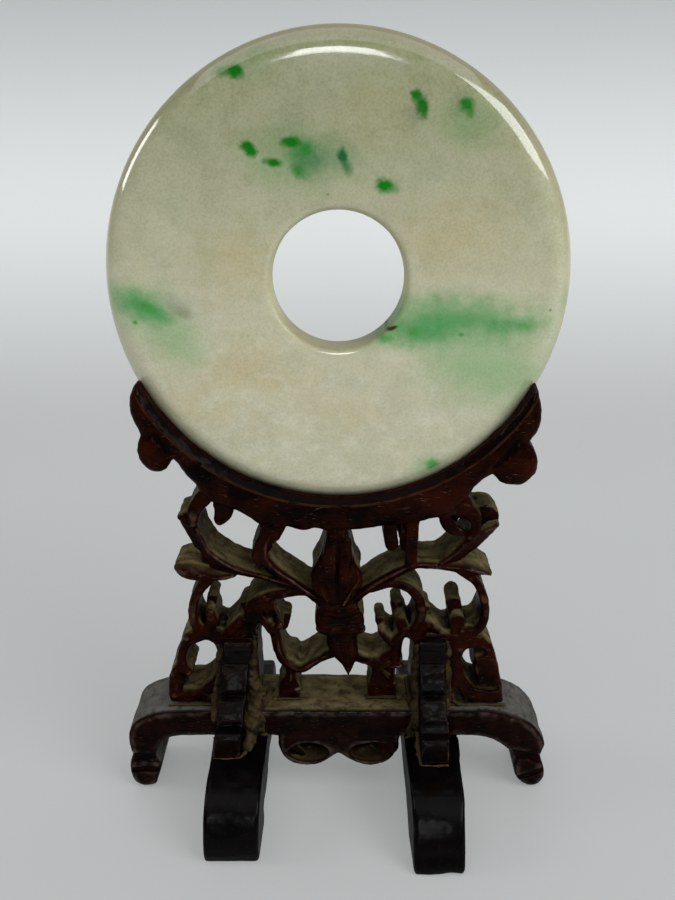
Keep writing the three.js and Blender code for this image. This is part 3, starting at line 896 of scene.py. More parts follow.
def speck_tree() -> bpy.types.NodeTree:
    """A tree that scatters flat specks along each line of a drawing."""
    g = GeometryTree("Specks", [
        ("Spacing", "NodeSocketFloat", 0.0004), ("Scatter", "NodeSocketFloat", 0.0002),
        ("Smallest", "NodeSocketFloat", 0.00006), ("Largest", "NodeSocketFloat", 0.0002),
        ("Seed", "NodeSocketInt", 5), ("Material", "NodeSocketMaterial", None),
    ])
    curve = g.node("GeometryNodeMeshToCurve", None, {0: g.geometry})
    dots = g.node("GeometryNodeCurveToPoints", {"mode": "LENGTH"},
                  {"Curve": curve, "Length": g.given("Spacing")})
    shift = g.node("FunctionNodeRandomValue", {"data_type": "FLOAT_VECTOR"},
                   {0: (-1.0, 0.0, -1.0), 1: (1.0, 0.0, 0.3), "Seed": g.given("Seed")}, 0)
    shift = g.scaled(shift, g.given("Scatter"))
    moved = g.node("GeometryNodeSetPosition", None, {"Geometry": dots, "Offset": shift})
    chip = g.node("GeometryNodeMeshIcoSphere", None, {"Radius": 1.0, "Subdivisions": 2})
    size = g.node("FunctionNodeRandomValue", {"data_type": "FLOAT"},
                  {2: g.given("Smallest"), 3: g.given("Largest"), "Seed": g.given("Seed") + 1}, 1)
    shape = g.node("FunctionNodeRandomValue", {"data_type": "FLOAT_VECTOR"},
                   {0: (0.8, 0.35, 0.4), 1: (2.2, 0.5, 0.9), "Seed": g.given("Seed") + 2}, 0)
    scattered = g.node("GeometryNodeInstanceOnPoints", None,
                       {"Points": moved, "Instance": chip, "Scale": g.scaled(shape, size)})
    return g.end(scattered)


@dataclass
class JadeDisc:
    """The polished jade ring, in millimetres. It stands in the cradle and leans back a little."""

    radius: float = 28.5
    thickness: float = 5.8
    rim_round: float = 3.1
    hole_radius: float = 8.25
    hole_round: float = 0.8
    lean: float = math.radians(3.6)
    segments: int = 320
    profile_steps: int = 150
    unevenness: float = 0.05
    inset: float = 0.005
    hole_steps: int = 8
    rim_steps: int = 40

    def centre_mm(self) -> Place:
        """The ring's middle, in millimetres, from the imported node's box."""
        low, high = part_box("jade_disc")
        return tuple((low[i] + high[i]) / 2 / MM for i in range(3))

    def _profile(self) -> list[Point]:
        """The section as (radius, depth), round from the hole's front edge and back to it."""
        half, front = self.thickness / 2, []
        for i in range(self.hole_steps + 1):
            a = math.pi / 2 * (1 - i / self.hole_steps)
            front.append((self.hole_radius + self.hole_round * (1 - math.sin(a)),
                          -half + self.hole_round * (1 - math.cos(a))))
        rim = []
        for i in range(self.rim_steps + 1):
            a = math.pi * (i / self.rim_steps - 0.5)
            rim.append((self.radius - self.inset - self.rim_round * (1 - math.cos(a)), half * math.sin(a)))
        back = [(r, -y) for r, y in reversed(front)]
        return front + rim + back

    def build(self, material: bpy.types.Material) -> bpy.types.Object:
        """Turns the ring.

        Args:
            material: Its stone.

        Returns:
            The finished piece.
        """
        points = np.array([(r * MM, y * MM, 0.0) for r, y in self._profile()])
        edges = [(i, (i + 1) % len(points)) for i in range(len(points))]
        centre = Vector(self.centre_mm()) * MM
        piece = made_by(turned_ring_tree(), "jade_ring", points, edges, {
            "Segments": self.segments, "Profile Steps": self.profile_steps, "Lean": self.lean,
            "Centre": list(centre), "Unevenness": self.unevenness * MM, "Material": material})
        return dressed(piece, material, ["jade_disc"])


@dataclass
class OldGlue:
    """Old glue squeezed out of the joints: lumpy fillets, thin beads and a few pale chips."""

    seed: float = 4.0
    step: float = 0.16
    low: Place = (-20.0, -12.0, 6.5)
    high: Place = (20.5, 3.0, 27.5)
    lumps: tuple[tuple[float, float, int], ...] = ((1.5, 0.22, 61), (0.55, 0.11, 62))
    back_brackets: Point = (-13.95, 13.5)
    bracket_half: float = 1.95
    most_triangles: int = 60_000

    def _drawn(self, lines: Sequence[Sequence[Row]]) -> tuple[Array, list[tuple[int, int]], Array]:
        """Draws lines of (x, y, z, thickness) in millimetres.

        Args:
            lines: The lines.

        Returns:
            The points in metres, the edges, and the thickness at each point in metres.
        """
        points, edges = [], []
        for line in lines:
            start = len(points)
            points += line
            edges += [(i, i + 1) for i in range(start, start + len(line) - 1)]
        rows = np.array(points) * MM
        return rows[:, :3], edges, rows[:, 3]

    def fillets(self, material: bpy.types.Material) -> bpy.types.Object:
        """Fills the corners beside the front brackets with lumpy glue.

        Args:
            material: The glue.

        Returns:
            The finished piece.
        """
        block = Block(self.low, self.high, self.step)
        block.join(
            Gouge(((-11.7, -2.3, 25, 0.3), (-11.8, -2.4, 21, 0.6), (-11.9, -2.6, 17.5, 0.95),
                   (-11.9, -3, 14.4, 1.35), (-12.2, -4, 12.6, 1.1), (-12.4, -4.5, 10.6, 1.2),
                   (-12.6, -6.2, 9.3, 0.85), (-12.9, -8.4, 8.9, 0.5))),
            Gouge(((-11, -2.4, 13.8, 1.1), (-10.2, -1.4, 13.5, 0.8), (-9.8, 1, 13.4, 0.6))),
            Gouge(((-11.2, -3.6, 13.2, 0.6), (-11, -3.6, 11.2, 0.8), (-10.8, -3.7, 9.8, 0.8))),
            Gouge(((11.2, -2.3, 24.6, 0.35), (11.2, -2.4, 21, 0.55), (11.3, -2.6, 17.5, 0.75),
                   (11.4, -3, 14.4, 0.95), (11.5, -4, 12.6, 0.75), (11.5, -4.4, 10.4, 0.75),
                   (11.6, -6.4, 9.3, 0.5), (11.6, -9.4, 8.9, 0.35))),
            Gouge(((10.8, -2.4, 13.8, 0.7), (10, -1, 13.4, 0.5))),
            Gouge(((10.8, -3.8, 12.6, 0.4), (10.6, -3.9, 10.6, 0.5), (10.4, -4, 9, 0.5))),
            Gouge(((15.2, -2.3, 24.2, 0.3), (15.4, -2.4, 20.4, 0.45), (15.6, -2.5, 17, 0.55),
                   (15.5, -3, 14.2, 0.6), (15.4, -4, 12.4, 0.45), (15.5, -4.1, 10.2, 0.4))),
            Gouge(((15.6, -2.4, 16, 0.45), (16.6, -2.3, 14.4, 0.4), (17.6, -2.4, 13.6, 0.35))),
            Gouge(((-16.4, -2.4, 24.2, 0.35), (-16.7, -2.5, 20.6, 0.5), (-17.1, -2.6, 17, 0.5),
                   (-17.4, -3.3, 14, 0.5), (-17.6, -4.2, 12.4, 0.35))),
            blend=0.5,
        )
        for spacing, depth, seed in self.lumps:
            block.ripple(spacing, depth, seed)
        return dressed(block.drawn("old_glue_fillets", self.most_triangles), material)

    def seams(self, material: bpy.types.Material) -> bpy.types.Object:
        """Lays thin beads along the other joints.

        Args:
            material: The glue.

        Returns:
            The finished piece.
        """
        lines = [
            # across the foot of each front bracket
            ((-17.4, -8.7, 9.35, 0.06), (-15.6, -8.75, 9.3, 0.1), (-13.7, -8.65, 9.3, 0.12),
             (-12.9, -7.6, 9.3, 0.3)),
            ((11.5, -9.95, 9.2, 0.12), (13.5, -10.05, 9.15, 0.16), (15.4, -9.95, 9.2, 0.12)),
            ((11.6, -9.8, 9.2, 0.12), (11.6, -7.6, 9.3, 0.18)),
            # under the panel, along the top of the rail
            ((-24.3, -2.7, 13.75, 0.14), (-21, -2.75, 13.75, 0.18), (-17.6, -2.7, 13.8, 0.2)),
            ((16.2, -2.7, 13.8, 0.18), (20, -2.8, 13.75, 0.2), (24, -2.7, 13.75, 0.14)),
            ((-8.6, -1.5, 13.85, 0.26), (-5.4, -1.5, 13.85, 0.2)),
            ((4.3, -1.1, 13.85, 0.26), (8.6, -1.1, 13.85, 0.24)),
            ((10.6, -2.6, 13.9, 0.3), (10.3, 0.2, 13.9, 0.35), (10.4, 3.4, 13.9, 0.3)),
            # between the rail and the feet
            ((-17.9, -4.25, 9.2, 0.16), (-14, -4.3, 9.3, 0.24), (-10.2, -4.3, 9.2, 0.26)),
            ((9.8, -4.25, 9.2, 0.22), (13.6, -4.3, 9.3, 0.24), (17.2, -4.3, 9.2, 0.18)),
            ((-17.8, 5.05, 9.3, 0.22), (-10.2, 5.05, 9.3, 0.26)),
            ((9.8, 5.05, 9.3, 0.26), (17.2, 5.05, 9.3, 0.22)),
        ]
        # down both sides of each back bracket
        for middle in self.back_brackets:
            for side in (-1, 1):
                x = middle + side * self.bracket_half
                lines.append(((x, 4.15, 23, 0.22), (x, 4.2, 18, 0.28), (x, 5.1, 13.6, 0.36),
                              (x, 5.3, 10.2, 0.26)))
        points, edges, thickness = self._drawn(lines)
        piece = made_by(seam_tree(), "old_glue_seams", points, edges, {
            "Spacing": 0.25 * MM, "Unevenness": 1.1, "Lumps": 0.3 * MM, "Seed": self.seed,
            "Material": material}, {"thickness": thickness})
        return dressed(piece, material)

    def specks(self, material: bpy.types.Material) -> bpy.types.Object:
        """Scatters pale chips along the rail's worn front edge.

        Args:
            material: The chips' finish.

        Returns:
            The finished piece.
        """
        lines = (
            ((-5.5, -3.95, 13.42, 0), (9.2, -3.95, 13.42, 0)),
            ((2.0, -4.02, 12.9, 0), (8.8, -4.02, 12.8, 0)),
            ((-1.0, -4.05, 9.9, 0), (7.5, -4.05, 9.7, 0)),
        )
        points, edges, _ = self._drawn(lines)
        piece = made_by(speck_tree(), "pale_specks", points, edges, {
            "Spacing": 0.85 * MM, "Scatter": 0.42 * MM, "Smallest": 0.02 * MM, "Largest": 0.11 * MM,
            "Seed": 5, "Material": material})
        return dressed(piece, material)


# ----- Carved hardwood stand


LEVEL = (-2.7, -2.7)  # where a stroke's face starts and ends, from back to front, unless it says so


def slab(x: Point, y: Point, z: Point, eased: float = 0.3) -> Board:
    """A plain block between two corners."""
    return Board(((x[0], z[0]), (x[0], z[1]), (x[1], z[1]), (x[1], z[0])), y[0], y[1], eased=eased, steps=1)


def trough(*path: Place, wide: float = 2.6) -> Gouge:
    """A long shallow cut in an upward surface: points of (x, z, radius), half way from front to back."""
    return Gouge(tuple((x, 0.7, z, radius) for x, z, radius in path), (1, wide, 1))


def vein(*path: Point, front: float, radius: float = 0.22) -> Gouge:
    """A fine cut drawn on a front surface."""
    return Gouge(tuple((x, front, z, radius) for x, z in path))


def ridge(line: tuple[Place, ...], front: Point = LEVEL, **shape: float) -> Stroke:
    """A stroke whose two facets meet at a crest."""
    return Stroke(line, Face.RIDGE, front, **shape)


def flat(line: tuple[Place, ...], front: Point = LEVEL) -> Stroke:
    """A stroke with a flat face."""
    return Stroke(line, Face.FLAT, front)


def rounded(line: tuple[Place, ...], front: Point = LEVEL, **shape: float) -> Stroke:
    """A stroke with a rounded face."""
    return Stroke(line, Face.ROUND, front, **shape)


class Carving:
    """A wooden piece that is carved from one block. Its sizes are in millimetres."""

    slot = "base_wood"
    shaped: Callable[[Array], Array] | None = None

    def carve(self, block: Block) -> None:
        """Joins and cuts the piece's shape."""
        raise NotImplementedError

    def corners(self) -> tuple[Array, Array]:
        """The lowest and highest corner that the wood may reach."""
        low, high = (np.array(corner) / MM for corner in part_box(self.node))
        return low, high

    def build(self, material: bpy.types.Material) -> bpy.types.Object:
        """Carves the piece, roughens it a little and dresses it.

        Args:
            material: Its wood.

        Returns:
            The finished piece.
        """
        low, high = self.corners()
        block = Block(low, high, self.step)
        self.carve(block)
        for i, (spacing, depth) in enumerate(self.ripples):
            block.ripple(spacing, depth, self.seed + i)
        block.kept_within(low, high)
        piece = block.drawn(self.name, self.most_triangles, self.shaped)
        return dressed(piece, material, [self.node])


@dataclass
class CarvedPanel(Carving):
    """The cradle, the bud and the leaves and scrolls under it, carved from one board."""

    disc: JadeDisc
    name: str = "carved_openwork_panel"
    node: str = "carved_panel"
    slot: str = "carved_wood"
    step: float = 0.17
    ripples: tuple[Point, ...] = ((1.6, 0.065), (0.6, 0.035))
    front: float = -4.1
    back: float = 4.1
    lip_radius: float = 27.5
    lip_centre: Point = (0, 74.25)
    groove_room: float = 0.25
    most_triangles: int = 192_000
    seed: int = 11

    def corners(self) -> tuple[Array, Array]:
        """The corners of the panel's box."""
        low, high = (np.array(corner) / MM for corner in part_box("carved_panel"))
        return low, high

    def carve(self, block: Block) -> None:
        """Carves the panel's parts in turn."""
        self._cradle(block)
        self._bud(block)
        self._left_openwork(block)
        self._right_openwork(block)

    def _cradle(self, block: Block) -> None:
        """The crescent with its two lobed ends and the groove between its lips."""
        outline = (
            (-23.7, 62.3), (-24.3, 62.5), (-25.5, 61.3), (-26, 59.3), (-25.7, 57.2), (-24.8, 55.3),
            (-25.4, 54), (-25.4, 52.2), (-24.6, 50.8), (-23.3, 50.3), (-22, 50.7), (-20.9, 52),
            (-19.9, 50.4), (-18.5, 48.5), (-17.3, 46.8), (-15.4, 45.5), (-13.2, 44.8), (-10.4, 42.9),
            (-8.4, 42.3), (-6.6, 42.5), (-5.6, 42.1), (-4.4, 42), (-3.2, 42.3), (-1.6, 41.9), (0, 41.9),
            (2.6, 42), (5.5, 42.4), (8, 42.7), (10.2, 43.1),
            (14.4, 44.3), (16.7, 46.3), (17.7, 48.1), (19.9, 49.9), (21, 48.9), (22.6, 48.5),
            (24.4, 48.7), (25.4, 49.9), (25.6, 51.6), (25.1, 53.4), (24.5, 54.3), (25.2, 55.5),
            (25.6, 57.5), (25.4, 59.5), (24.8, 61.4), (24.1, 62.2), (23.5, 61.8), (21, 74), (-21, 74),
        )
        x, z = self.lip_centre
        lip = Gouge(((x, -40, z, self.lip_radius), (x, 40, z, self.lip_radius)))
        bevel = Gouge(((x, -5.1, z, self.lip_radius + 1.6), (x, -3.1, z, self.lip_radius)))
        disc, room = self.disc, self.groove_room
        groove = Turned(disc.centre_mm(), disc.radius + room, disc.thickness / 2 + room,
                        disc.rim_round + room, disc.lean)
        block.join(Board(outline, self.front, self.back, dome=0.85, dome_width=2.4, eased=0.7, steps=2))
        block.cut(lip, blend=0.5).cut(bevel, blend=0.12)
        block.cut(groove, blend=0.25)
        creases = (
            Gouge(((-22.9, -4.2, 55.9, 0.25), (-24, -4.2, 55.4, 0.5), (-25.3, -4.1, 55.2, 0.75))),
            Gouge(((22.6, -4.2, 54.9, 0.25), (23.8, -4.2, 54.5, 0.5), (25.1, -4.1, 54.3, 0.75))),
            vein((-20.2, 52.9), (-21.6, 53.6), (-22.9, 55.5), front=-4, radius=0.24),
            vein((20, 51.2), (21.2, 52.6), (22.5, 54.6), front=-4, radius=0.24),
        )
        block.cut(*creases, blend=0.5)

    def _bud(self, block: Block) -> None:
        """The closed bud with its petals, the ringed bulb and the pendant under it."""
        outline = (
            (-1.2, 42.6), (-1.9, 39.6), (-2.5, 37.4), (-3.4, 35.6), (-3.3, 33.4), (-2.3, 31.2), (-2.9, 29.4),
            (-3.1, 27.4), (-2.7, 25.8), (-1.6, 25.4), (-1.5, 23.8), (-0.6, 22.2), (0.6, 20.6), (1.5, 18.9),
            (2.3, 20.6), (2.9, 22.3), (2.7, 25.2), (3.3, 25.9), (3.7, 27.6), (3.2, 29.4), (1.6, 31),
            (2, 32.8),
            (3, 34.6), (2.3, 37.2), (1.8, 39.6), (1.3, 42.6),
        )
        block.join(Board(outline, -3.4, 3.9, dome=0.7, dome_width=1, steps=2))
        block.join(
            Gouge(((-0.75, -3, 40.6, 0.75), (-1.05, -3, 38, 1), (-1, -3.05, 35, 1.05),
                   (-0.6, -3, 31.9, 0.55))),
            Gouge(((1.1, -2.95, 40.4, 0.7), (1.05, -3, 37.8, 0.95), (0.75, -3.05, 34.8, 0.95),
                   (0.25, -3, 31.9, 0.5))),
            blend=0.12,
        )
        block.join(
            ridge(((-2.7, 36.4, 0.3), (-3, 34.9, 1.1), (-2.4, 33.2, 1.5), (-1.5, 31.6, 0.8)), (-3.3, -4),
                  fall=0.5, crest=0.5, eased=0.15),
            ridge(((2.7, 36, 0.3), (2.9, 34.4, 1), (2, 32.7, 1.3), (0.9, 30.9, 0.7)), (-3.2, -4), fall=0.5,
                  crest=-0.5, eased=0.15),
            Gouge(((-2.3, -3.15, 26.95, 0.72), (0.4, -3.35, 26.95, 0.78), (3.1, -3.15, 26.95, 0.7))),
            Gouge(((-1.7, -2.9, 29.8, 0.9), (0.3, -3.1, 29.7, 1.05), (2.2, -2.9, 29.8, 0.9))),
            blend=0.12,
        )
        block.join(ridge(((0.6, 25.9, 3.6), (0.8, 23.6, 3.2), (1.2, 21.4, 1.7), (1.5, 19.2, 0.4)),
                         (-3.9, -3.4), fall=0.9, crest=0.35, eased=0.12), blend=0.1)
        block.cut(
            vein((0.2, 41.4), (0.1, 36), (-0.15, 31.6), front=-4.05, radius=0.3),
            vein((-2, 36.6), (-2.1, 34.4), (-1.1, 31.7), front=-3.75, radius=0.26),
            vein((1.95, 37.4), (2, 34.4), (0.9, 31.9), front=-3.75, radius=0.28),
            vein((-2.9, 28.05), (0.4, 27.95), (3.4, 28), front=-3.95, radius=0.24),
            vein((-2.5, 26.05), (0.4, 25.95), (2.9, 26), front=-3.95, radius=0.26),
            vein((-1.2, 24.3), (0.4, 24), (1.9, 24.4), front=-3.95, radius=0.14),
            vein((-1.1, 23.4), (0.6, 23), (2, 23.6), front=-3.85, radius=0.12),
            Gouge(((1.9, -3.9, 39, 0.3), (2.2, -3.7, 38.1, 0.32))),
            blend=0.12,
        )

    def _left_openwork(self, block: Block) -> None:
        """Leaves, scrolls and the cup on the left."""
        leaves = (
            ridge(((-1.6, 30.4, 1.9), (-4, 32.1, 1.3), (-6.2, 33.8, 1.3), (-8.4, 35.4, 1.5),
                   (-9.9, 37.3, 1.6), (-9.9, 39.2, 1.3), (-9.2, 40.6, 0.7)), (-3.3, -2.9), fall=0.7,
                  crest=-0.6),
            rounded(((-8.5, 43.6, 3.8), (-8.7, 41.4, 3.1), (-9.9, 39.3, 2.3), (-10.9, 37.6, 1.5),
                     (-10.9, 36, 1.2)), (-2.5, -2.3), fall=0.4),
            ridge(((-4.2, 32.1, 1), (-7.2, 33.3, 1.2), (-10.2, 34.4, 1.2), (-13.2, 35.2, 1.4),
                   (-15.6, 36.2, 1.9), (-17.7, 37.9, 2.2), (-18.8, 40.4, 2.2), (-19.9, 42.8, 2.2)),
                  (-3, -2.7), fall=1, crest=-0.75, eased=0.2),
            flat(((-20.8, 43.3, 0.9), (-19.8, 43.2, 1.8)), (-2.2, -2.5)),
            rounded(((-16.6, 47.4, 2.2), (-17.9, 45.9, 2.1), (-18.9, 44.3, 1.8), (-19, 42.7, 1.1)), (-3, -3),
                    fall=0.5),
            ridge(((-14.2, 34.7, 1), (-16.4, 34.5, 1.7), (-18.6, 34.9, 2.6), (-20.5, 35.3, 2.7),
                   (-21.5, 35.6, 1.5)), (-2.8, -2.7), fall=0.9, crest=0.05, eased=0.2),
            rounded(((-14.9, 46.2, 2.6), (-15, 44.2, 2.4), (-15.6, 43.1, 1.5)), (-3.1, -2.9)),
        )
        scrolls = (
            rounded(((-17.6, 34.2, 1.9), (-19.2, 31.8, 1.3), (-20, 29.2, 1.2), (-19.8, 27, 1.3),
                     (-18.5, 25.9, 1.5), (-17.5, 26.9, 1.7), (-17.6, 28.8, 1.3)), fall=0.4),
            rounded(((-20.9, 24.9, 1.2), (-19.2, 25.6, 1.5), (-16.6, 24.9, 2.6), (-16, 23.4, 2)),
                    (-2.9, -2.6), fall=0.5),
            rounded(((-18, 25.6, 1.6), (-15.7, 25.3, 1.4), (-14.3, 26.4, 1.6), (-13.2, 27.8, 1.3))),
            flat(((-17.7, 28.6, 1.3), (-17.5, 29.9, 1.5)), (-1, -0.4)),
            flat(((-13.4, 27.3, 1.3), (-12.9, 28.9, 1.6)), (-1.6, -0.6)),
            rounded(((-4, 32.2, 1), (-7, 32, 1.2), (-9.6, 31.3, 1.6), (-11.3, 29.9, 2.4), (-11.7, 28.3, 2.6),
                     (-12.4, 26.4, 2)), (-2.9, -2.5), fall=0.5),
            rounded(((-11.6, 28, 1.9), (-12.2, 26.2, 1.6), (-13, 24.4, 3))),
            flat(((-9.3, 29.9, 1.5), (-9, 28.1, 2.2), (-8.9, 26.2, 1.2)), (-2.4, -2.4)),
            rounded(((-11, 28.4, 1), (-10, 27, 1.1), (-9, 26.1, 1.4), (-8, 27, 1))),
            flat(((-7.6, 25, 1.2), (-7.3, 26.4, 1.4)), (0.2, 0.6)),
            ridge(((-9, 26.3, 1.2), (-8.6, 24.8, 1.6), (-8.3, 22.6, 1.4), (-7.3, 20.5, 1.5),
                   (-5.3, 19.5, 1.5), (-3.4, 20.6, 1.3), (-1.6, 21.8, 1.5), (0.2, 22.8, 1.6)), fall=0.5,
                  crest=0.3),
            rounded(((-17.4, 25.6, 1.8), (-19.2, 25, 1.6), (-21.1, 23.9, 1.4), (-22, 21.8, 1.3),
                     (-22.1, 20.2, 1.5), (-21.2, 19.1, 1.3)), fall=0.45),
            rounded(((-22, 20.6, 1.2), (-23, 18.6, 1.7), (-23.2, 15.4, 2)), fall=0.45),
            rounded(((-23.4, 15.4, 1.6), (-21, 15.2, 1.8), (-19.2, 15.6, 1.6), (-17.8, 16.8, 1.6),
                     (-16.4, 18.4, 1.6))),
            ridge(((-6.6, 20, 2.2), (-6.7, 17.8, 1.4), (-7, 15.9, 2.7), (-7, 14.8, 3)), (-1.6, -1.5),
                  fall=0.5),
        )
        block.join(*leaves, *scrolls, blend=0.2)
        block.join(
            slab((-16.8, -11.1), (-2.5, 3.9), (13.6, 25.6)),
            slab((-24.1, -16.4), (-2.4, 3.9), (13.6, 14.8)),
            slab((-17.2, -16), (-2.5, 3.9), (17.4, 19.8)),
            slab((-8.5, -5.5), (-1.4, 3.9), (13.6, 15.3)),
        )
        block.cut(
            trough((-17.3, 41.9, 1.3), (-16.4, 39.2, 1.4), (-14, 37.4, 1.3), (-11.6, 36.5, 1.1)),
            trough((-8.4, 39.4, 1.2), (-7.2, 37, 1.3), (-5, 35.2, 1.2), (-4, 34.4, 1)),
            trough((-20.9, 38.1, 1.3), (-19, 37.9, 1.2), wide=2.2),
            Gouge(((-9, -2.9, 29.6, 0.45), (-9.05, -2.7, 28.1, 0.85), (-8.9, -2.7, 27, 0.35)), (0.9, 1.2, 1)),
            vein((-8.6, 29.9), (-8.8, 28.2), (-8.7, 27), front=-1.9, radius=0.22),
            Gouge(((-12.2, -2.9, 27, 0.5), (-12.9, -2.9, 26, 0.4))),
            Gouge(((-8.9, -2.9, 23.3, 0.4), (-9.1, -2.9, 22.6, 0.5))),
            Gouge(((-6.2, -1.9, 17.5, 0.3), (-6.1, -1.9, 16.6, 0.35))),
            vein((-19.9, 26.2), (-18.6, 26.9), (-17.2, 26.2), front=-2.8, radius=0.2),
            vein((-23.9, 14.9), (-21.6, 14.8), (-19, 15), front=-2.7, radius=0.16),
            blend=0.3,
        )

    def _right_openwork(self, block: Block) -> None:
        """Leaves, scrolls, the cup and the pierced side plate on the right."""
        leaves = (
            ridge(((1.1, 29.9, 1.9), (3.4, 32.1, 1.3), (6, 33.9, 1.3), (8.6, 35.4, 1.4), (10.8, 36.2, 1.3),
                   (13.2, 36.2, 1.2)), (-3.4, -2.8), fall=0.8, crest=0.55, eased=0.2),
            ridge(((12.4, 36.2, 1.1), (15.2, 36, 1.7), (17.6, 35.7, 2.2), (19.6, 35.1, 1.3),
                   (20.8, 34.8, 0.5)), (-2.9, -2.7), fall=0.9, crest=0.1, eased=0.2),
            flat(((9.85, 44, 1.9), (9.8, 41, 1.7), (9.9, 38.5, 1.7), (9.9, 36.2, 1.7)), (-2.9, -2.7)),
            rounded(((7.1, 43.6, 2.1), (7, 41.2, 1.9), (7.3, 39.3, 1.8)), (-2.9, -2.6)),
            ridge(((8.9, 38.6, 0.9), (8.85, 40.2, 1.1), (8.8, 41, 0.6)), (-2.2, -2.2)),
            ridge(((14, 36.4, 1.1), (15.8, 37.6, 1.9), (17.6, 39.3, 2.5), (19.5, 40.9, 2.1), (21.2, 42, 0.9)),
                  (-2.9, -2.6), fall=1, crest=0.5, eased=0.2),
            rounded(((13.6, 44.2, 1.4), (15.2, 44.9, 1.9), (17, 44.5, 2.1), (18.1, 43.1, 1.9),
                     (18.2, 41.7, 1.5), (17.6, 40.8, 1.1)), (-3.2, -3.1), fall=0.5),
            rounded(((14.2, 43.9, 1.6), (14.5, 42.6, 1.7), (15.4, 41.7, 1.6), (16.6, 41.3, 1.1)), (-3, -2.8),
                    fall=0.4),
            rounded(((15.6, 46.8, 2.2), (16.6, 45.4, 2.2)), (-2.6, -2.8), fall=0.3),
            flat(((18, 42.8, 2), (19.6, 43.3, 2.6), (20.6, 42.9, 2.2)), (-0.9, -0.9)),
            flat(((15.2, 43.6, 2.2), (15.6, 42.5, 2.4), (16.9, 42.2, 2)), (-1.3, -1.3)),
        )
        scrolls = (
            rounded(((16.6, 35.4, 1.2), (18.9, 33.7, 1.1), (19.9, 31.6, 1.1), (20.4, 29.4, 1.1),
                     (20.2, 27.3, 1.3), (19.3, 26, 1.4), (17.4, 25.7, 1.5)), fall=0.35),
            flat(((16.8, 25.6, 1.9), (16.7, 27.4, 2)), (-2.4, -2.2)),
            flat(((16.6, 27, 1.9), (16.3, 29.3, 2.1)), (-1.5, -0.6)),
            ridge(((16.8, 25.3, 1.4), (14.9, 25.2, 1.2), (13.6, 26, 1.4), (12.4, 26.9, 1.4)), (-2.5, -2.2)),
            flat(((12.6, 27, 1.2), (12.3, 28.1, 1.5)), (-1.2, -0.4)),
            rounded(((4.6, 32.6, 1), (7.6, 33.4, 1.2), (9.8, 32.6, 1.4), (11.2, 30.8, 1.4), (11.6, 28.6, 1.4),
                     (11.1, 26.8, 1.4), (10.3, 25.3, 1.4)), fall=0.45),
            ridge(((12.6, 26.8, 1.5), (11.7, 25.8, 1.6), (11.2, 24.8, 1.6))),
            rounded(((10.3, 25.4, 1.5), (9.3, 25.9, 1.7), (8.8, 27.4, 1.6)), (-2.6, -2.2)),
            ridge(((8.6, 27.2, 1.7), (8.3, 28.6, 1.7)), (-1.6, -0.5), fall=0.6),
            flat(((6.4, 25.2, 1), (6, 26.2, 1.4)), (-0.9, -0.2)),
            ridge(((9.3, 25.9, 1.4), (8.5, 24.4, 1.5), (8.3, 22.6, 1.4), (8.1, 20.6, 1.4))),
            ridge(((8.3, 23.4, 1.2), (7.2, 24.2, 1.5), (6.2, 25.2, 1.1)), (-2.5, -2)),
            ridge(((0.6, 22.9, 1.6), (2.2, 21.8, 1.5), (4.2, 20.9, 1.4), (6, 21.1, 1.4), (7.8, 22.2, 1.4)),
                  fall=0.5, crest=-0.3),
            ridge(((4.5, 20.6, 1.2), (6.3, 20.3, 1.3), (8.8, 20.3, 1.1)), (-2.7, -3), fall=0.5),
            ridge(((4.4, 20.2, 1), (6.2, 18.6, 0.9), (7.8, 16.9, 0.9)), (-1.9, -1.3), fall=0.3),
            flat(((6.4, 20.4, 3.4), (6.5, 17.6, 3.2), (6.4, 16, 3.6)), (-0.9, -0.9)),
        )
        plate = Board(((15.8, 25.6), (18.4, 25.6), (20.2, 25), (21.7, 23.6), (22.5, 21), (23, 19),
                       (23.6, 16.6), (24, 13.6), (15.8, 13.6)), -2.7, 3.9, dome=0.35, dome_width=1, steps=1)
        block.join(*leaves, *scrolls, plate, blend=0.2)
        block.join(slab((10.6, 16.3), (-2.5, 3.9), (13.6, 25.3)), slab((4.4, 8.5), (-1, 3.9), (13.6, 16.1)))
        through = dict(face=Face.FLAT, front=(-5, -5), back=5, eased=0.05)
        block.cut(
            Stroke(((20, 22.6, 1.6), (18.7, 22.1, 1.9), (18.5, 20.4, 1.9), (19.1, 18.2, 1.3),
                    (19.8, 16.9, 0.9), (21.2, 16.5, 0.7), (22.7, 16.5, 0.8)), **through),
            Stroke(((17, 16.4, 0.6), (17.4, 14.6, 1.2), (17.6, 13, 1.2)), **through),
            blend=0.35,
        )
        block.join(ridge(((20.6, 21, 1.2), (20.2, 19.6, 1.4), (20.4, 18.6, 1.3)), (-2.5, -2.7), fall=0.6,
                         crest=0.4))
        block.cut(
            trough((3.6, 34.5, 1.1), (6, 36.2, 1.2), (8, 37.6, 1)),
            trough((11.6, 38.5, 1.2), (13.6, 39.1, 1.4), (15.4, 40.4, 1.3), (16.6, 42, 1)),
            trough((17.6, 38.2, 1), (19.4, 37.3, 1), wide=2),
            Gouge(((9.9, -2.9, 27.9, 0.55), (10.1, -2.6, 28.6, 0.45))),
            Gouge(((16.9, -3.6, 42.7, 0.75), (16.9, -2, 42.5, 0.7), (16.9, 0.5, 42.4, 0.6))),
            Gouge(((20, -2.9, 22.6, 0.7), (20, 0.5, 22.5, 0.6))),
            vein((1.8, 31.2), (3.6, 32.8), (6.2, 34.4), front=-3.2, radius=0.12),
            vein((15.9, 27.6), (17.6, 27.9), front=-2.5, radius=0.14),
            vein((9, 43), (8.8, 41.4), front=-2.9, radius=0.2),
            blend=0.3,
        )


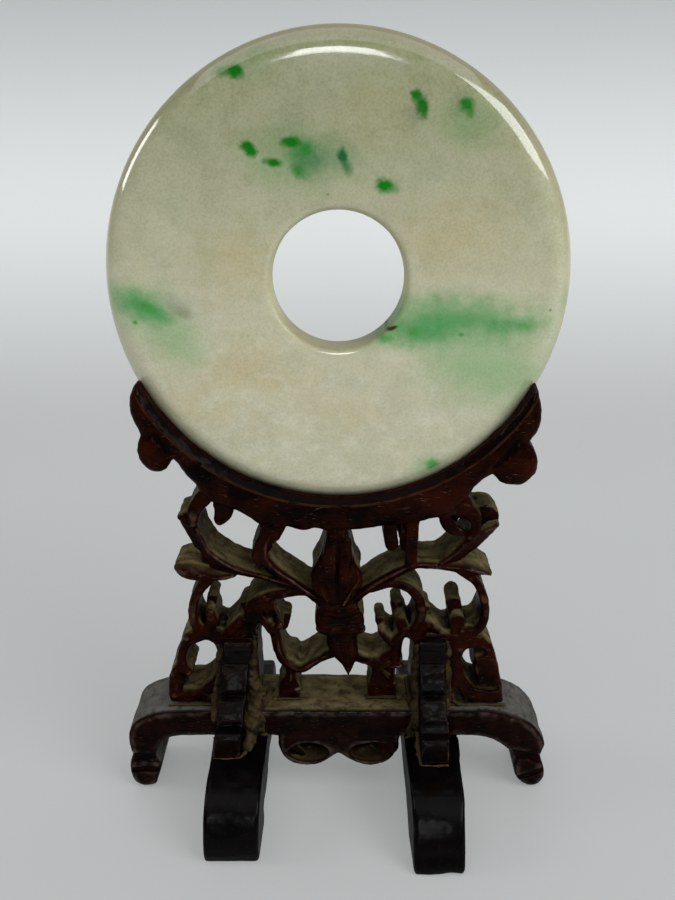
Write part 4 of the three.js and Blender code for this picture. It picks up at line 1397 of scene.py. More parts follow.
@dataclass
class BaseRail(Carving):
    """The rail that the panel stands on, with its scrolled ends and the lobed apron."""

    name: str = "scrolled_base_rail"
    node: str = "base_rail"
    step: float = 0.2
    ripples: tuple[Point, ...] = ((2.2, 0.05), (0.7, 0.014))
    front: float = -4.1
    back: float = 4.9
    top: float = 13.7
    bottom: float = 9.1
    most_triangles: int = 120_000
    seed: int = 31

    def corners(self) -> tuple[Array, Array]:
        """The corners of the rail's box."""
        low, high = (np.array(corner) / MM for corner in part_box("base_rail"))
        return low, high

    def carve(self, block: Block) -> None:
        """Carves the rail from its outline."""
        outline = (
            (-26.9, 0.3), (-28.6, 0), (-30, 0.8), (-30.55, 2.6), (-30.4, 4.4), (-30, 5.6), (-30.3, 7.4),
            (-30.2, 9.4), (-29.2, 11.5), (-27.3, 12.8), (-24.6, 13.5), (-20, self.top), (0, self.top),
            (19.5, self.top), (22.5, 13.6), (25.3, 12.8), (27.8, 11.4), (29.4, 9.4), (30.2, 7.4), (29.7, 5.5),
            (30.3, 3.6), (30.55, 1.8), (29.9, 0.5), (28.8, 0), (27.4, 0.5), (26.3, 2), (25.9, 3.9),
            (26.1, 5.2), (24.7, 6.9), (22.6, 8.4), (20, self.bottom), (14, self.bottom), (9, self.bottom),
            (8.9, 7.4), (8.2, 5.5), (6.8, 4.2), (4.9, 3.8), (2.6, 4.3), (1, 5.3), (0.1, 6), (-0.9, 5.2),
            (-2.4, 4.2), (-4.4, 3.7), (-6.6, 4.2), (-8, 5.5), (-8.6, 7.4), (-8.6, self.bottom),
            (-14, self.bottom), (-22.4, self.bottom), (-24.8, 8.6), (-26.1, 7), (-26.6, 5.6), (-25.9, 4.2),
            (-26.2, 2.4),
        )
        block.join(Board(outline, self.front, self.back, dome=0.3, dome_width=0.8, eased=0.45, steps=2))
        self._hollow_apron(block)
        self._shape_toes(block)

    def _hollow_apron(self, block: Block) -> None:
        """Scoops the two lobes under the middle out from the front."""
        block.cut(
            Gouge(((-4.2, self.front, 6.3, 2.75),), (1.05, 0.95, 0.66)),
            Gouge(((5, self.front, 6.3, 2.75),), (1.15, 0.95, 0.66)),
            blend=0.25,
        )
        block.join(
            Gouge(((8.2, -3.3, 6.9, 0.7), (7, -3.1, 6.6, 0.95), (6.4, -2.9, 7.2, 0.5))),
            Gouge(((-6.9, -3, 7.3, 0.6), (-6.2, -2.8, 6.3, 0.8), (-5.2, -2.7, 5.4, 0.5))),
            blend=0.4,
        )
        block.cut(vein((1.4, 8.75), (4.6, 8.7), (8.6, 8.75), front=self.front, radius=0.14),
                  vein((-7.9, 8.75), (-4.6, 8.7), (-1.2, 8.75), front=self.front, radius=0.14), blend=0.15)

    def _shape_toes(self, block: Block) -> None:
        """Sets the toes back from their necks and cuts the line across each."""
        block.cut(
            Gouge(((-31, -4.3, 5.6, 0.8), (-28.2, -4.35, 5.5, 0.55), (-26, -4.3, 5.3, 0.7))),
            Gouge(((31, -4.3, 4.7, 0.8), (28, -4.35, 5.7, 0.55), (25.6, -4.3, 6.2, 0.7))),
            vein((-30.4, 3.1), (-28.3, 3.4), (-26, 3.2), front=self.front - 0.05, radius=0.3),
            vein((25.8, 1.4), (28.2, 2.4), (30.6, 3.4), front=self.front - 0.05, radius=0.3),
            blend=0.4,
        )


@dataclass
class Foot(Carving):
    """One cross foot: an arched bar that runs under the rail from front to back."""

    name: str
    node: str
    middle: float
    front_reach: float
    sloping_toe: bool
    narrowing: tuple[float, float]
    seed: int
    step: float = 0.2
    half_width: float = 3.9
    back_reach: float = 20.15
    rail: tuple[float, float] = (-4.1, 4.9)
    taper_start: float = 5.0
    ripples: tuple[Point, ...] = ((3, 0.09), (0.9, 0.018))
    most_triangles: int = 90_000

    def _half(self, reach: float, sloping: bool) -> tuple[list[Point], list[Point]]:
        """Half of the side outline, from the middle out over the toe and back under the arch."""
        over = [(0, 9.6), (4.6, 9.6), (8.6, 9.2), (11.4, 8.8)]
        if sloping:
            over += [(reach - 5.4, 8.2), (reach - 3.4, 7), (reach - 2, 5.3), (reach - 1.1, 3.6),
                     (reach - 0.5, 2.2), (reach, 1), (reach - 0.2, 0)]
        else:
            over += [(reach - 3.9, 8), (reach - 2.1, 6.8), (reach - 0.9, 5.2), (reach - 0.2, 3.4),
                     (reach, 1.7), (reach - 0.5, 0)]
        line = flowing(over, 3)
        under = [(reach - 6.8, 0), (reach - 8.4, 1.4), (reach - 11.6, 3.2), (4.6, 3.7), (0, 3.8)]
        return [tuple(point) for point in line], under

    def shaped(self, places: Array) -> Array:
        """Draws the sides in towards both toes."""
        out = np.abs(places[:, 1]) - self.taper_start
        share = np.clip(out / (self.back_reach - self.taper_start), 0, 1)
        side = places[:, 0] - self.middle
        narrowing = np.where(side < 0, self.narrowing[0], self.narrowing[1])
        moved = places.copy()
        moved[:, 0] -= share * narrowing * side / self.half_width
        return moved

    def carve(self, block: Block) -> None:
        """Carves the foot from its side outline."""
        front, back = self._half(self.front_reach, self.sloping_toe), self._half(self.back_reach, False)
        outline = [(-out, z) for out, z in reversed(front[0])] + back[0][1:] + back[1]
        outline += [(-out, z) for out, z in reversed(front[1][:-1])]
        block.join(Board(tuple(outline), self.middle - self.half_width, self.middle + self.half_width,
                         axis="x", eased=0.75, steps=1))
        block.cut(slab((-40, 40), (self.rail[0] - 0.2, self.rail[1] + 0.2), (8.8, 20), eased=0.05), blend=0.2)
        if self.sloping_toe:
            block.cut(Gouge(((self.middle - 4.5, -20.3, 3.3, 0.5), (self.middle + 4.5, -20.4, 3.1, 0.5))),
                      blend=1)


@dataclass
class Bracket(Carving):
    """A toothed bracket that steadies the panel from the front or the back of the rail."""

    name: str
    node: str
    foot_x: float
    top_x: float
    seat: float
    panel_face: float
    rail_face: float
    top: float
    ahead: int
    seed: int
    width: float = 3.8
    gap: float = 0.25
    rail_top: float = 13.7
    lean_from: float = 9.1
    lean_to: float = 25.3
    step: float = 0.13
    ripples: tuple[Point, ...] = ((1.5, 0.085), (0.5, 0.02))
    most_triangles: int = 60_000

    def _profile(self) -> tuple[Point, ...]:
        """The side outline, as distances out from the middle of the stand."""
        wall, rail = self.panel_face + self.gap, self.rail_face + self.gap
        return (
            (wall, self.top), (wall + 1.25, self.top), (wall + 1.5, self.top - 0.4),
            (wall + 1.45, self.top - 1.3),
            (wall + 0.6, self.top - 1.8), (wall + 0.5, self.top - 2.7), (wall + 0.8, self.top - 3.5),
            (wall + 0.7, 21.3), (wall + 1.7, 20.7), (6, 18.7), (5.7, 17.9), (5, 17.4), (4.9, 17),
            (5.8, 16.5), (7.4, 14.7), (7.3, 13.9), (self.seat - 2.4, 13.5), (self.seat - 2, 13),
            (self.seat - 0.5, 12.9), (self.seat, 12.3), (self.seat, 9.45), (rail, 9.9),
            (rail, self.rail_top + self.gap), (wall, self.rail_top + self.gap),
        )

    def _scoop(self, block: Block) -> None:
        """Hollows the front of each tooth and nicks its corners, as a small gouge leaves them."""
        wall, half = self.panel_face + self.gap, self.width / 2
        teeth = ((wall + 2.35, 22.6), (wall + 4.1, 19.5), (7.9, 15.5), (self.seat - 0.1, 13.9))
        scoops = []
        for out, z in teeth:
            y = self.ahead * out
            scoops.append(Gouge(((-3, y, z, 0.95), (3, y, z, 0.95))))
        draw = np.random.default_rng(self.seed)
        nicks = []
        corners = ((wall + 1.6, self.top - 0.8), (wall + 1.7, 20.6), (5.9, 18.5), (7.3, 14.4),
                   (self.seat, 12.4))
        for out, z in corners:
            side = half if draw.random() < 0.5 else -half
            y = self.ahead * (out + 0.1)
            radius = 0.35 + 0.3 * draw.random()
            nicks.append(Gouge(((side * 1.1, y, z, radius), (side * 0.8, y, z + 0.4, 0.25))))
        block.cut(*scoops, *nicks, blend=0.2)

    def shaped(self, places: Array) -> Array:
        """Stands the bracket at foot_x and leans it so that it ends at top_x."""
        slope = (self.top_x - self.foot_x) / (self.lean_to - self.lean_from)
        moved = places.copy()
        moved[:, 0] += self.foot_x + slope * (places[:, 2] - self.lean_from)
        return moved

    def corners(self) -> tuple[Array, Array]:
        """The node's corners, with the bracket upright in the middle."""
        low, high = super().corners()
        low[0], high[0] = -self.width / 2, self.width / 2
        return low, high

    def carve(self, block: Block) -> None:
        """Carves the bracket from its side outline."""
        outline = tuple((self.ahead * out, z) for out, z in self._profile())
        block.join(Board(outline, -self.width / 2, self.width / 2, axis="x", eased=0.3, steps=1))
        self._scoop(block)


# ----- Finishes


@dataclass(frozen=True)
class Inclusion:
    """A coloured mark in the jade, placed from the ring's middle, in millimetres."""

    tint: str
    centre: Point
    reach: Point
    turn: float = 0.0
    strength: float = 1.0
    soft: float = 0.6
    ragged: float = 0.5
    grain: float = 0.7


class Finish:
    """What every finish does: it makes its material and paints the material's graph."""

    def paint(self, g: ShaderGraph) -> None:
        """Fills the graph."""
        raise NotImplementedError

    def material(self) -> bpy.types.Material:
        """Builds the material."""
        made = bpy.data.materials.new(self.name)
        self.paint(ShaderGraph(made))
        return made


@dataclass(frozen=True)
class Jade(Finish):
    """Polished pale jadeite with green clouds. Its edges are shares of the ring's radius."""

    disc: JadeDisc
    name: str = "polished jade"
    pale: Colour = (0.700, 0.675, 0.470)
    cool: Colour = (0.685, 0.658, 0.474)
    cloud: Colour = (0.800, 0.780, 0.615)
    rim: Colour = (0.470, 0.430, 0.230)
    upward: Colour = (0.580, 0.550, 0.500)
    hole_shade: Colour = (0.900, 0.910, 0.840)
    deep_and_shade: Colour = (0.440, 0.490, 0.360)
    hole_edge: Point = (0.307, 0.295)
    rim_start: float = 0.94
    dull_start: float = 0.975
    relief_mm: float = 0.02
    tints: tuple[tuple[str, Colour], ...] = (
        ("soft_green", (0.400, 0.580, 0.300)), ("green", (0.085, 0.400, 0.110)),
        ("leaf", (0.030, 0.380, 0.040)), ("vivid", (0.001, 0.310, 0.004)),
        ("teal", (0.130, 0.330, 0.180)), ("deep_teal", (0.020, 0.230, 0.060)),
        ("brown_veil", (0.250, 0.270, 0.170)), ("grey_veil", (0.380, 0.400, 0.300)),
        ("brown", (0.045, 0.040, 0.012)),
        ("peach", (0.700, 0.610, 0.370)), ("pale_veil", (0.730, 0.735, 0.560)),
    )

    def _clouds(self) -> list[Inclusion]:
        """Wide soft green: right of the hole, above it, and at the left edge."""
        return [Inclusion("soft_green", *row, soft=0.95, grain=3.0) for row in (
            ((19, -11), (9, 4.5), -8, 0.95), ((17, -10), (4.5, 2), -10, 0.6), ((14, -5), (12, 3.5), 0, 0.95),
            ((-4.5, 14), (6.5, 3.5), -6, 0.8), ((-23.5, -3.5), (5.5, 3), -14, 0.9),
            ((-20, -7.5), (4, 3), -20, 0.8),
            ((15, 18), (3.5, 3), 0, 0.75), ((-11, 24), (3.5, 1.8), 0, 0.5), ((-8.5, 25.5), (1.5, 1), 0, 0.6),
            ((-27.5, -2), (1, 2), 0, 0.8), ((28, -2.5), (1, 1.5), 0, 0.8), ((11.5, -23.5), (2, 1.5), 20, 0.7),
        )]

    def _bands(self) -> list[Inclusion]:
        """Stronger green along the middle of the clouds."""
        return [Inclusion(tint, *row, soft=0.9, ragged=0.65, grain=1.6) for tint, *row in (
            ("green", (14, -4.75), (9.5, 2.8), -2, 0.72), ("green", (10, -6.25), (4.5, 1.6), 4, 0.85),
            ("green", (13.5, -4.75), (3, 1), 0, 0.5), ("green", (21, -5.25), (3.5, 1), -2, 0.7),
            ("green", (-24, -3), (3.5, 1.8), -22, 0.95), ("green", (-21.5, -4.25), (1.5, 0.8), -18, 0.7),
            ("green", (-3.75, 14.5), (2.2, 1.8), -30, 0.9), ("green", (-4.5, 12.75), (1.3, 1), -35, 0.75),
            ("teal", (-1.5, 14), (3.5, 2), 0, 0.4),
        )]

    def _spots(self) -> list[Inclusion]:
        """Small vivid spots. A weaker one is softer."""
        return [Inclusion(*row, soft=0.6 if row[4] > 0.9 else 0.8) for row in (
            ("vivid", (-12.75, 23.25), (1.3, 0.7), 4, 0.7), ("vivid", (-11.5, 23.25), (1, 0.8), -14, 1),
            ("vivid", (-10.5, 15.25), (0.9, 0.7), -20, 1), ("vivid", (-10, 14.75), (0.8, 0.7), -30, 1),
            ("vivid", (-5.5, 15.75), (1.3, 0.6), 0, 1), ("vivid", (-7.5, 13.5), (1.2, 0.5), -8, 1),
            ("leaf", (-3.75, 15), (0.7, 0.7), 0, 0.8), ("leaf", (-4.75, 12.5), (0.7, 0.6), -30, 0.7),
            ("deep_teal", (0.5, 14.25), (0.6, 1), 10, 1), ("deep_teal", (1, 13), (0.6, 1), 20, 0.7),
            ("vivid", (5.25, 11), (1.1, 0.9), -10, 1), ("vivid", (6.25, 10.75), (1, 0.7), -20, 0.6),
            ("vivid", (8.75, 20.75), (0.7, 0.8), 0, 1), ("vivid", (9.5, 19.5), (0.8, 1.4), 8, 1),
            ("leaf", (14.5, 19.75), (0.9, 0.8), 0, 1), ("leaf", (15, 19), (0.6, 0.7), 0, 0.8),
            ("leaf", (12, -23.25), (0.9, 0.8), 30, 0.9), ("leaf", (-23, -3.25), (1.1, 0.6), -20, 0.65),
            ("leaf", (5.75, -7), (1, 0.6), 10, 0.7), ("leaf", (9.25, -6.25), (1, 0.7), 0, 0.5),
            ("leaf", (22.75, -5.5), (1, 0.5), 0, 0.4), ("vivid", (-24.75, -5), (0.3, 0.3), 0, 0.8),
            ("vivid", (15, -6.5), (0.3, 0.3), 0, 0.6),
        )]

    def _flecks(self) -> list[Inclusion]:
        """Brown flecks, and the faint veils beside three of the marks."""
        return [Inclusion(*row, soft=0.9 if "veil" in row[0] else 0.6, grain=1.2) for row in (
            ("brown_veil", (-19, -3.75), (1.6, 0.8), -10, 0.6), ("grey_veil", (-20, -2.5), (2, 1), -10, 0.35),
            ("grey_veil", (8.5, 18.5), (1, 1.5), 0, 0.3), ("brown", (6.5, -5.75), (0.8, 0.25), 20, 1),
            ("brown", (25.75, -3.5), (0.2, 0.2), 0, 0.6), ("brown", (-1.25, 10), (0.2, 0.15), 0, 0.4),
        )]

    def _warmths(self) -> list[Inclusion]:
        """Broad peach and pale patches that break up the ground colour."""
        return [Inclusion(tint, *row, soft=0.95, ragged=0.6, grain=4.0) for tint, *row in (
            ("peach", (-11, -12), (7.5, 5.5), -14, 0.85), ("peach", (-18, -16), (4, 2.5), -20, 0.6),
            ("peach", (-12, 2), (5.5, 4.5), 0, 0.65), ("peach", (13, 5), (7, 4.5), 20, 0.7),
            ("peach", (1.5, -16.5), (5, 3), 0, 0.45), ("peach", (4, 19), (5, 4), 0, 0.35),
            ("pale_veil", (-17, -8), (3, 1.5), 0, 0.5), ("pale_veil", (-9.5, -14.5), (4.5, 1.5), -10, 0.4),
            ("pale_veil", (9.5, 13), (5, 2.5), -10, 0.35), ("pale_veil", (-20.5, 7.5), (3, 5), 0, 0.35),
        )]

    def _inclusions(self) -> list[Inclusion]:
        """Every mark, in the order in which they are laid over each other."""
        return self._clouds() + self._bands() + self._spots() + self._flecks() + self._warmths()

    def paint(self, g: ShaderGraph) -> None:
        """Lays the veils, the wisps, the greens and a painted shade towards the top over the ground colour,
        then darkens the rim, partly as painted shade, and paints shade on upward faces and on the hole's
        wall.
        """
        disc, middle = self.disc, self.disc.centre_mm()
        height = g.mm(2)
        colour = g.mix(g.noise(7.0, 3.0, seed=1.7, rough=0.6).step(0.36, 0.62), self.cool, self.pale)
        from_axis = g.patch((middle[0], middle[2]), (disc.radius, disc.radius))
        tints = dict(self.tints)
        rise = disc.thickness / 2 * math.sin(disc.lean)
        clouds = self._inclusions()
        veils = [cloud for cloud in clouds if cloud.tint in ("peach", "pale_veil")]
        greens = [cloud for cloud in clouds if cloud not in veils]
        for i, cloud in enumerate(veils + greens):
            if i == len(veils):
                colour = self._wisps(g, colour, height, middle)
            spot = (middle[0] + cloud.centre[0], middle[2] + cloud.centre[1] * math.cos(disc.lean) + rise)
            distance = g.patch(spot, cloud.reach, cloud.turn, cloud.ragged, cloud.grain, 3.3 + i * 1.9)
            cover = distance.step(1.0 + cloud.soft * 0.6, 1.0 - cloud.soft) * cloud.strength
            colour = g.mix(cover, colour, tints[cloud.tint])
        colour = self._grain_smoke_and_shade(g, colour, height, middle)
        # The rim is darkened towards olive: partly the stone's own olive edge, partly painted shade against
        # the light that the rim catches.
        colour = g.mix(from_axis.step(self.rim_start, 1.0) * 0.5, colour, self.rim)
        # Painted shade: faces that point upwards, along the top of the rim, are darkened.
        colour = g.mix(g.up.step(0.1, 0.9), colour, g.tinted(colour, self.upward))
        in_hole = from_axis.step(*self.hole_edge)
        dull = in_hole.most(from_axis.step(self.dull_start, 1.0) * 0.8)
        # Painted shade: the wall of the hole is darkened a little.
        colour = g.mix(in_hole, colour, g.tinted(colour, self.hole_shade))
        polish = g.noise(1.4, 3.0, seed=9.0).step(0.35, 0.7) * 0.06 + 0.1
        relief = g.noise(2.6, 2.0, seed=3.0) + g.noise(0.14, 2.0, seed=4.4) * 0.22
        g.finish(
            {"Base Color": colour, "Roughness": polish.most(dull * 0.5),
             "Coat Weight": (1 - dull) * 0.85, "Normal": g.bump(relief, self.relief_mm)},
            {"Subsurface Weight": 0.18, "Subsurface Radius": (1.0, 1.0, 0.75),
             "Subsurface Scale": 1.4 * MM, "IOR": 1.45, "Coat Roughness": 0.06},
        )

    def _wisps(self, g: ShaderGraph, colour: Value, height: Value, middle: Sequence[float]) -> Value:
        """Adds pale wisps, more of them lower down.

        Args:
            g: The material's graph.
            colour: The colour so far.
            height: The height, in millimetres.
            middle: The ring's middle, in millimetres.

        Returns:
            The new colour.
        """
        low = height.step(middle[2] + 6, middle[2] - 24)
        wisps = g.noise(1.5, 5.0, (1.5, 1.0, 1.0), 8.4, 0.74).step(0.44, 0.68)
        return g.mix(wisps * (low * 0.40 + 0.30), colour, self.cloud)

    def _grain_smoke_and_shade(self, g: ShaderGraph, colour: Value, height: Value, middle: Sequence[float]) -> Value:
        """Adds the sugary grain, smoky patches and a painted shade that darkens the ring towards the top.

        Args:
            g: The material's graph.
            colour: The colour so far.
            height: The height, in millimetres.
            middle: The ring's middle, in millimetres.

        Returns:
            The new colour.
        """
        sugar = g.noise(0.30, 2.0, seed=2.2).step(0.62, 0.32) * 0.16
        deep_and_shade = g.tinted(colour, self.deep_and_shade)
        smoke = g.noise(3.4, 4.0, seed=6.1, rough=0.65).step(0.42, 0.66) * 0.13
        # Painted shade: the ring is darkened more and more towards its top.
        shade = height.step(middle[2] - 6, middle[2] + 31) * 0.76 + 0.04
        return g.mix((sugar + shade + smoke).clamped(), colour, deep_and_shade)


@dataclass(frozen=True)
class Rosewood(Finish):
    """Dark waxed rosewood with pale pores, worn edges that also carry a painted highlight, painted shade
    in its hollows, and dust where it can lie.

    A pair of distances in millimetres says where something starts and where it is full: dust behind
    the front, grey dust with a painted sheen towards the ends, and dust on the walls of the inner openings.
    """

    name: str
    dark: Colour = (0.0022, 0.0005, 0.0003)
    red: Colour = (0.0270, 0.0042, 0.0009)
    worn: Colour = (0.1100, 0.0420, 0.0200)
    dust: Colour = (0.1750, 0.1400, 0.0640)
    earth: Colour = (0.0400, 0.0290, 0.0120)
    ash_and_sheen: Colour = (0.1150, 0.1130, 0.1080)
    crevice_shade: Colour = (0.0012, 0.0008, 0.0006)
    pores: Colour = (0.1200, 0.0800, 0.0550)
    dusty: float = 1.0
    dust_behind: Point = (-2.5, -1.7)
    ash_and_sheen_beyond: Point = (200.0, 201.0)
    inner_walls: Point = (21.5, 17.0)
    edge_wear_and_highlight: float = 0.5
    gloss: float = 0.24
    sheen: float = 0.05
    polish: float = 0.2
    glints: float = 0.3
    lines: float = 0.9
    relief_mm: float = 0.055
    pore_share: float = 0.55
    lip: Place | None = None
    stretch: Place = (7.0, 1.0, 1.0)
    seed: float = 0.0
    patches: tuple[tuple[Point, Point, float], ...] = ()
    clean: tuple[tuple[Point, Point, float], ...] = ()

    def paint(self, g: ShaderGraph) -> None:
        """Lays the grain, the worn edges with their painted highlight, the pores, painted shade in the
        hollows, and the dust with its painted sheen at the ends over the wood.
        """
        edge, hollow = g.attribute("edge"), g.attribute("hollow")
        streak = g.noise(0.22, 3.0, self.stretch, self.seed + 2.6, 0.6)
        tone = g.noise(3.2, 4.0, seed=self.seed + 0.4, rough=0.6).step(0.3, 0.72) * 0.8 + (streak - 0.5) * 1.1
        for centre, reach, strength in self.patches:
            cover = g.patch(centre, reach, 0, 0.5, 2.0, self.seed).step(1.3, 0.3)
            tone = tone + cover * strength
        colour = g.mix(tone.clamped(), self.dark, self.red)
        # Worn edges: partly real rubbing, partly a painted highlight standing for the thin light lines along
        # the carved edges.
        edge_rub_and_highlight = edge.step(0.3, 1.0) * g.noise(1.1, 3.0, seed=self.seed + 7).step(0.38, 0.66) * self.edge_wear_and_highlight
        colour = g.mix(edge_rub_and_highlight, colour, self.worn)
        dashes = tuple(times * reach for times, reach in zip(self.stretch, (1.2, 1.4, 1.0)))
        pores = g.noise(0.12, 1.0, dashes, self.seed + 4.0).step(0.655, 0.72)
        pores = pores * g.noise(2.4, 2.0, seed=self.seed + 5).step(0.44, 0.6) * g.ahead.step(0.2, 0.8)
        colour = g.mix(pores * self.pore_share, colour, self.pores)
        if self.lip:
            colour = self._lip_shade_and_highlight(g, colour)
        # Painted shade: the hollows, where the wood closes in, are darkened towards near black.
        colour = g.mix(hollow.step(0.12, 0.7) * 0.85, colour, self.crevice_shade)
        dust = self._dust(g, edge, hollow)
        lit = g.noise(1.9, 5.0, (1.6, 0.8, 1.0), self.seed + 9, 0.62).step(0.26, 0.72)
        soil_and_sheen = g.mix(lit, self.earth, self.dust)
        # Towards the ends the dust turns grey: partly grey dust, partly a painted sheen standing for the
        # satin reflection on the rail's end tops.
        ends = g.mm(0).size().step(*self.ash_and_sheen_beyond)
        soil_and_sheen = g.mix(ends * 0.9, soil_and_sheen, g.mix(lit, tuple(c * 0.7 for c in self.ash_and_sheen), self.ash_and_sheen))
        colour = g.mix(dust, colour, soil_and_sheen)
        rough = g.noise(0.9, 3.0, seed=self.seed + 6).step(0.3, 0.7) * 0.12 + self.gloss
        rough = (rough + dust * 0.5 + hollow * 0.2).clamped()
        relief = (streak * self.lines - pores * 0.8 + g.noise(0.30, 3.0, seed=self.seed + 8) * 0.8
                  + dust * g.noise(0.18, 3.0, seed=self.seed + 11) * 1.6)
        coat = (1 - dust) * (edge.step(0.4, 1.1) * self.glints + self.sheen)
        g.finish(
            {"Base Color": colour, "Roughness": rough, "Coat Weight": coat,
             "Normal": g.bump(relief, self.relief_mm)},
            {"Coat Roughness": self.polish, "IOR": 1.5, "Specular IOR Level": 0.012,
             "Specular Tint": (1.0, 0.7, 0.65, 1.0)},
        )

    def _lip_shade_and_highlight(self, g: ShaderGraph, colour: Value) -> Value:
        """Paints shade on the bevel round the cradle's opening and a painted highlight along its lower edge.

        Args:
            g: The material's graph.
            colour: The colour so far.

        Returns:
            The new colour.
        """
        x, z, radius = self.lip
        offset = g.vector("SUBTRACT", g.place, (x * MM, 0.0, z * MM))
        flat = g.vector("MULTIPLY", offset, (1 / MM, 0.0, 1 / MM))
        out = g.vector("LENGTH", flat, output=1) - radius
        front = g.ahead.step(0.1, 0.4)
        # Painted shade: the bevel inside the lip line is darkened towards near black.
        colour = g.mix(out.step(0.1, -0.15) * front * 0.8, colour, self.crevice_shade)
        # Painted highlight: a broken light line in the wear colour along the bevel's lower edge.
        line = (out - 0.12).size().step(0.24, 0.04) * g.noise(1.6, 3.0, seed=3.3).step(0.3, 0.55)
        return g.mix(line * front * 0.3, colour, self.worn)

    def _dust(self, g: ShaderGraph, edge: Value, hollow: Value) -> Value:
        """Where dust lies: on upward faces and on the sides of the openings, behind the front.

        Args:
            g: The material's graph.
            edge: High on worn edges.
            hollow: High where the wood closes in.

        Returns:
            How thick it lies, from 0 to 1.
        """
        sideways = 1 - g.ahead.size().step(0.25, 0.8)
        lying = (g.up.step(0.0, 0.6) * sideways).most(g.up.step(0.35, 0.8))
        inward = g.mm(0).size().step(*self.inner_walls)
        walls = sideways * g.up.step(-0.4, 0.1) * inward * 0.45
        patchy = g.noise(1.1, 4.0, (1.0, 1.5, 1.0), self.seed + 1.2, 0.7).step(0.22, 0.52)
        dust = lying.most(walls) * patchy * self.dusty * edge.step(1.0, 0.45) * hollow.step(1.0, 0.45)
        dust = dust * g.mm(1).step(*self.dust_behind)
        for centre, reach, share in self.clean:
            dust = dust * (1 - g.patch(centre, reach, 0, 0.1, 3.0, self.seed).step(1.1, 0.9) * share)
        return dust.clamped()


@dataclass(frozen=True)
class Glue(Finish):
    """Old yellow-brown glue, dusty and dull."""

    name: str
    light: Colour = (0.058, 0.038, 0.0125)
    brown: Colour = (0.008, 0.0048, 0.0022)
    seed: float = 0.0
    relief_mm: float = 0.06

    def paint(self, g: ShaderGraph) -> None:
        """Paints blotches that are lighter on upward faces."""
        blotch = g.noise(1.1, 5.0, seed=self.seed, rough=0.7)
        settled = (g.up * 0.22 + blotch).step(0.36, 0.74)
        colour = g.mix(settled, self.brown, self.light)
        relief = g.noise(0.22, 3.0, seed=self.seed + 2)
        normal = g.bump(relief, self.relief_mm)
        g.finish({"Base Color": colour, "Roughness": blotch * 0.4 + 0.5, "Normal": normal},
                 {"Specular IOR Level": 0.12})


@dataclass(frozen=True)
class PlainFinish(Finish):
    """The studio's floor and backdrop: a pale sheet with a faint painted glow near the floor that lightens
    the shade under the stand.
    """

    name: str
    colour: Colour
    roughness: float
    glow: float = 0.27
    floor_share: float = 0.31
    wall_share: float = 0.62
    grey: Colour = (0.5, 0.5, 0.5)

    def paint(self, g: ShaderGraph) -> None:
        """Paints the floor darker than the bend and the wall, and fades its glow upwards."""
        height = g.mm(2)
        tone = g.mix(height.step(0.0, 60.0), tuple(c * self.floor_share for c in self.colour), self.colour)
        tone = g.mix(height.step(50.0, 170.0), tone, tuple(c * self.wall_share for c in self.colour))
        tone = g.mix(g.noise(60.0, 2.0).step(0.3, 0.7) * 0.02, tone, self.grey)
        # Painted light: the floor glows faintly near the ground, fading out upwards.
        glow = g.mix(height.step(10.0, 60.0), self.colour, (0.0, 0.0, 0.0))
        g.finish({"Base Color": tone, "Emission Color": glow},
                 {"Roughness": self.roughness, "Specular IOR Level": 0.25, "Emission Strength": self.glow})


# ----- Studio


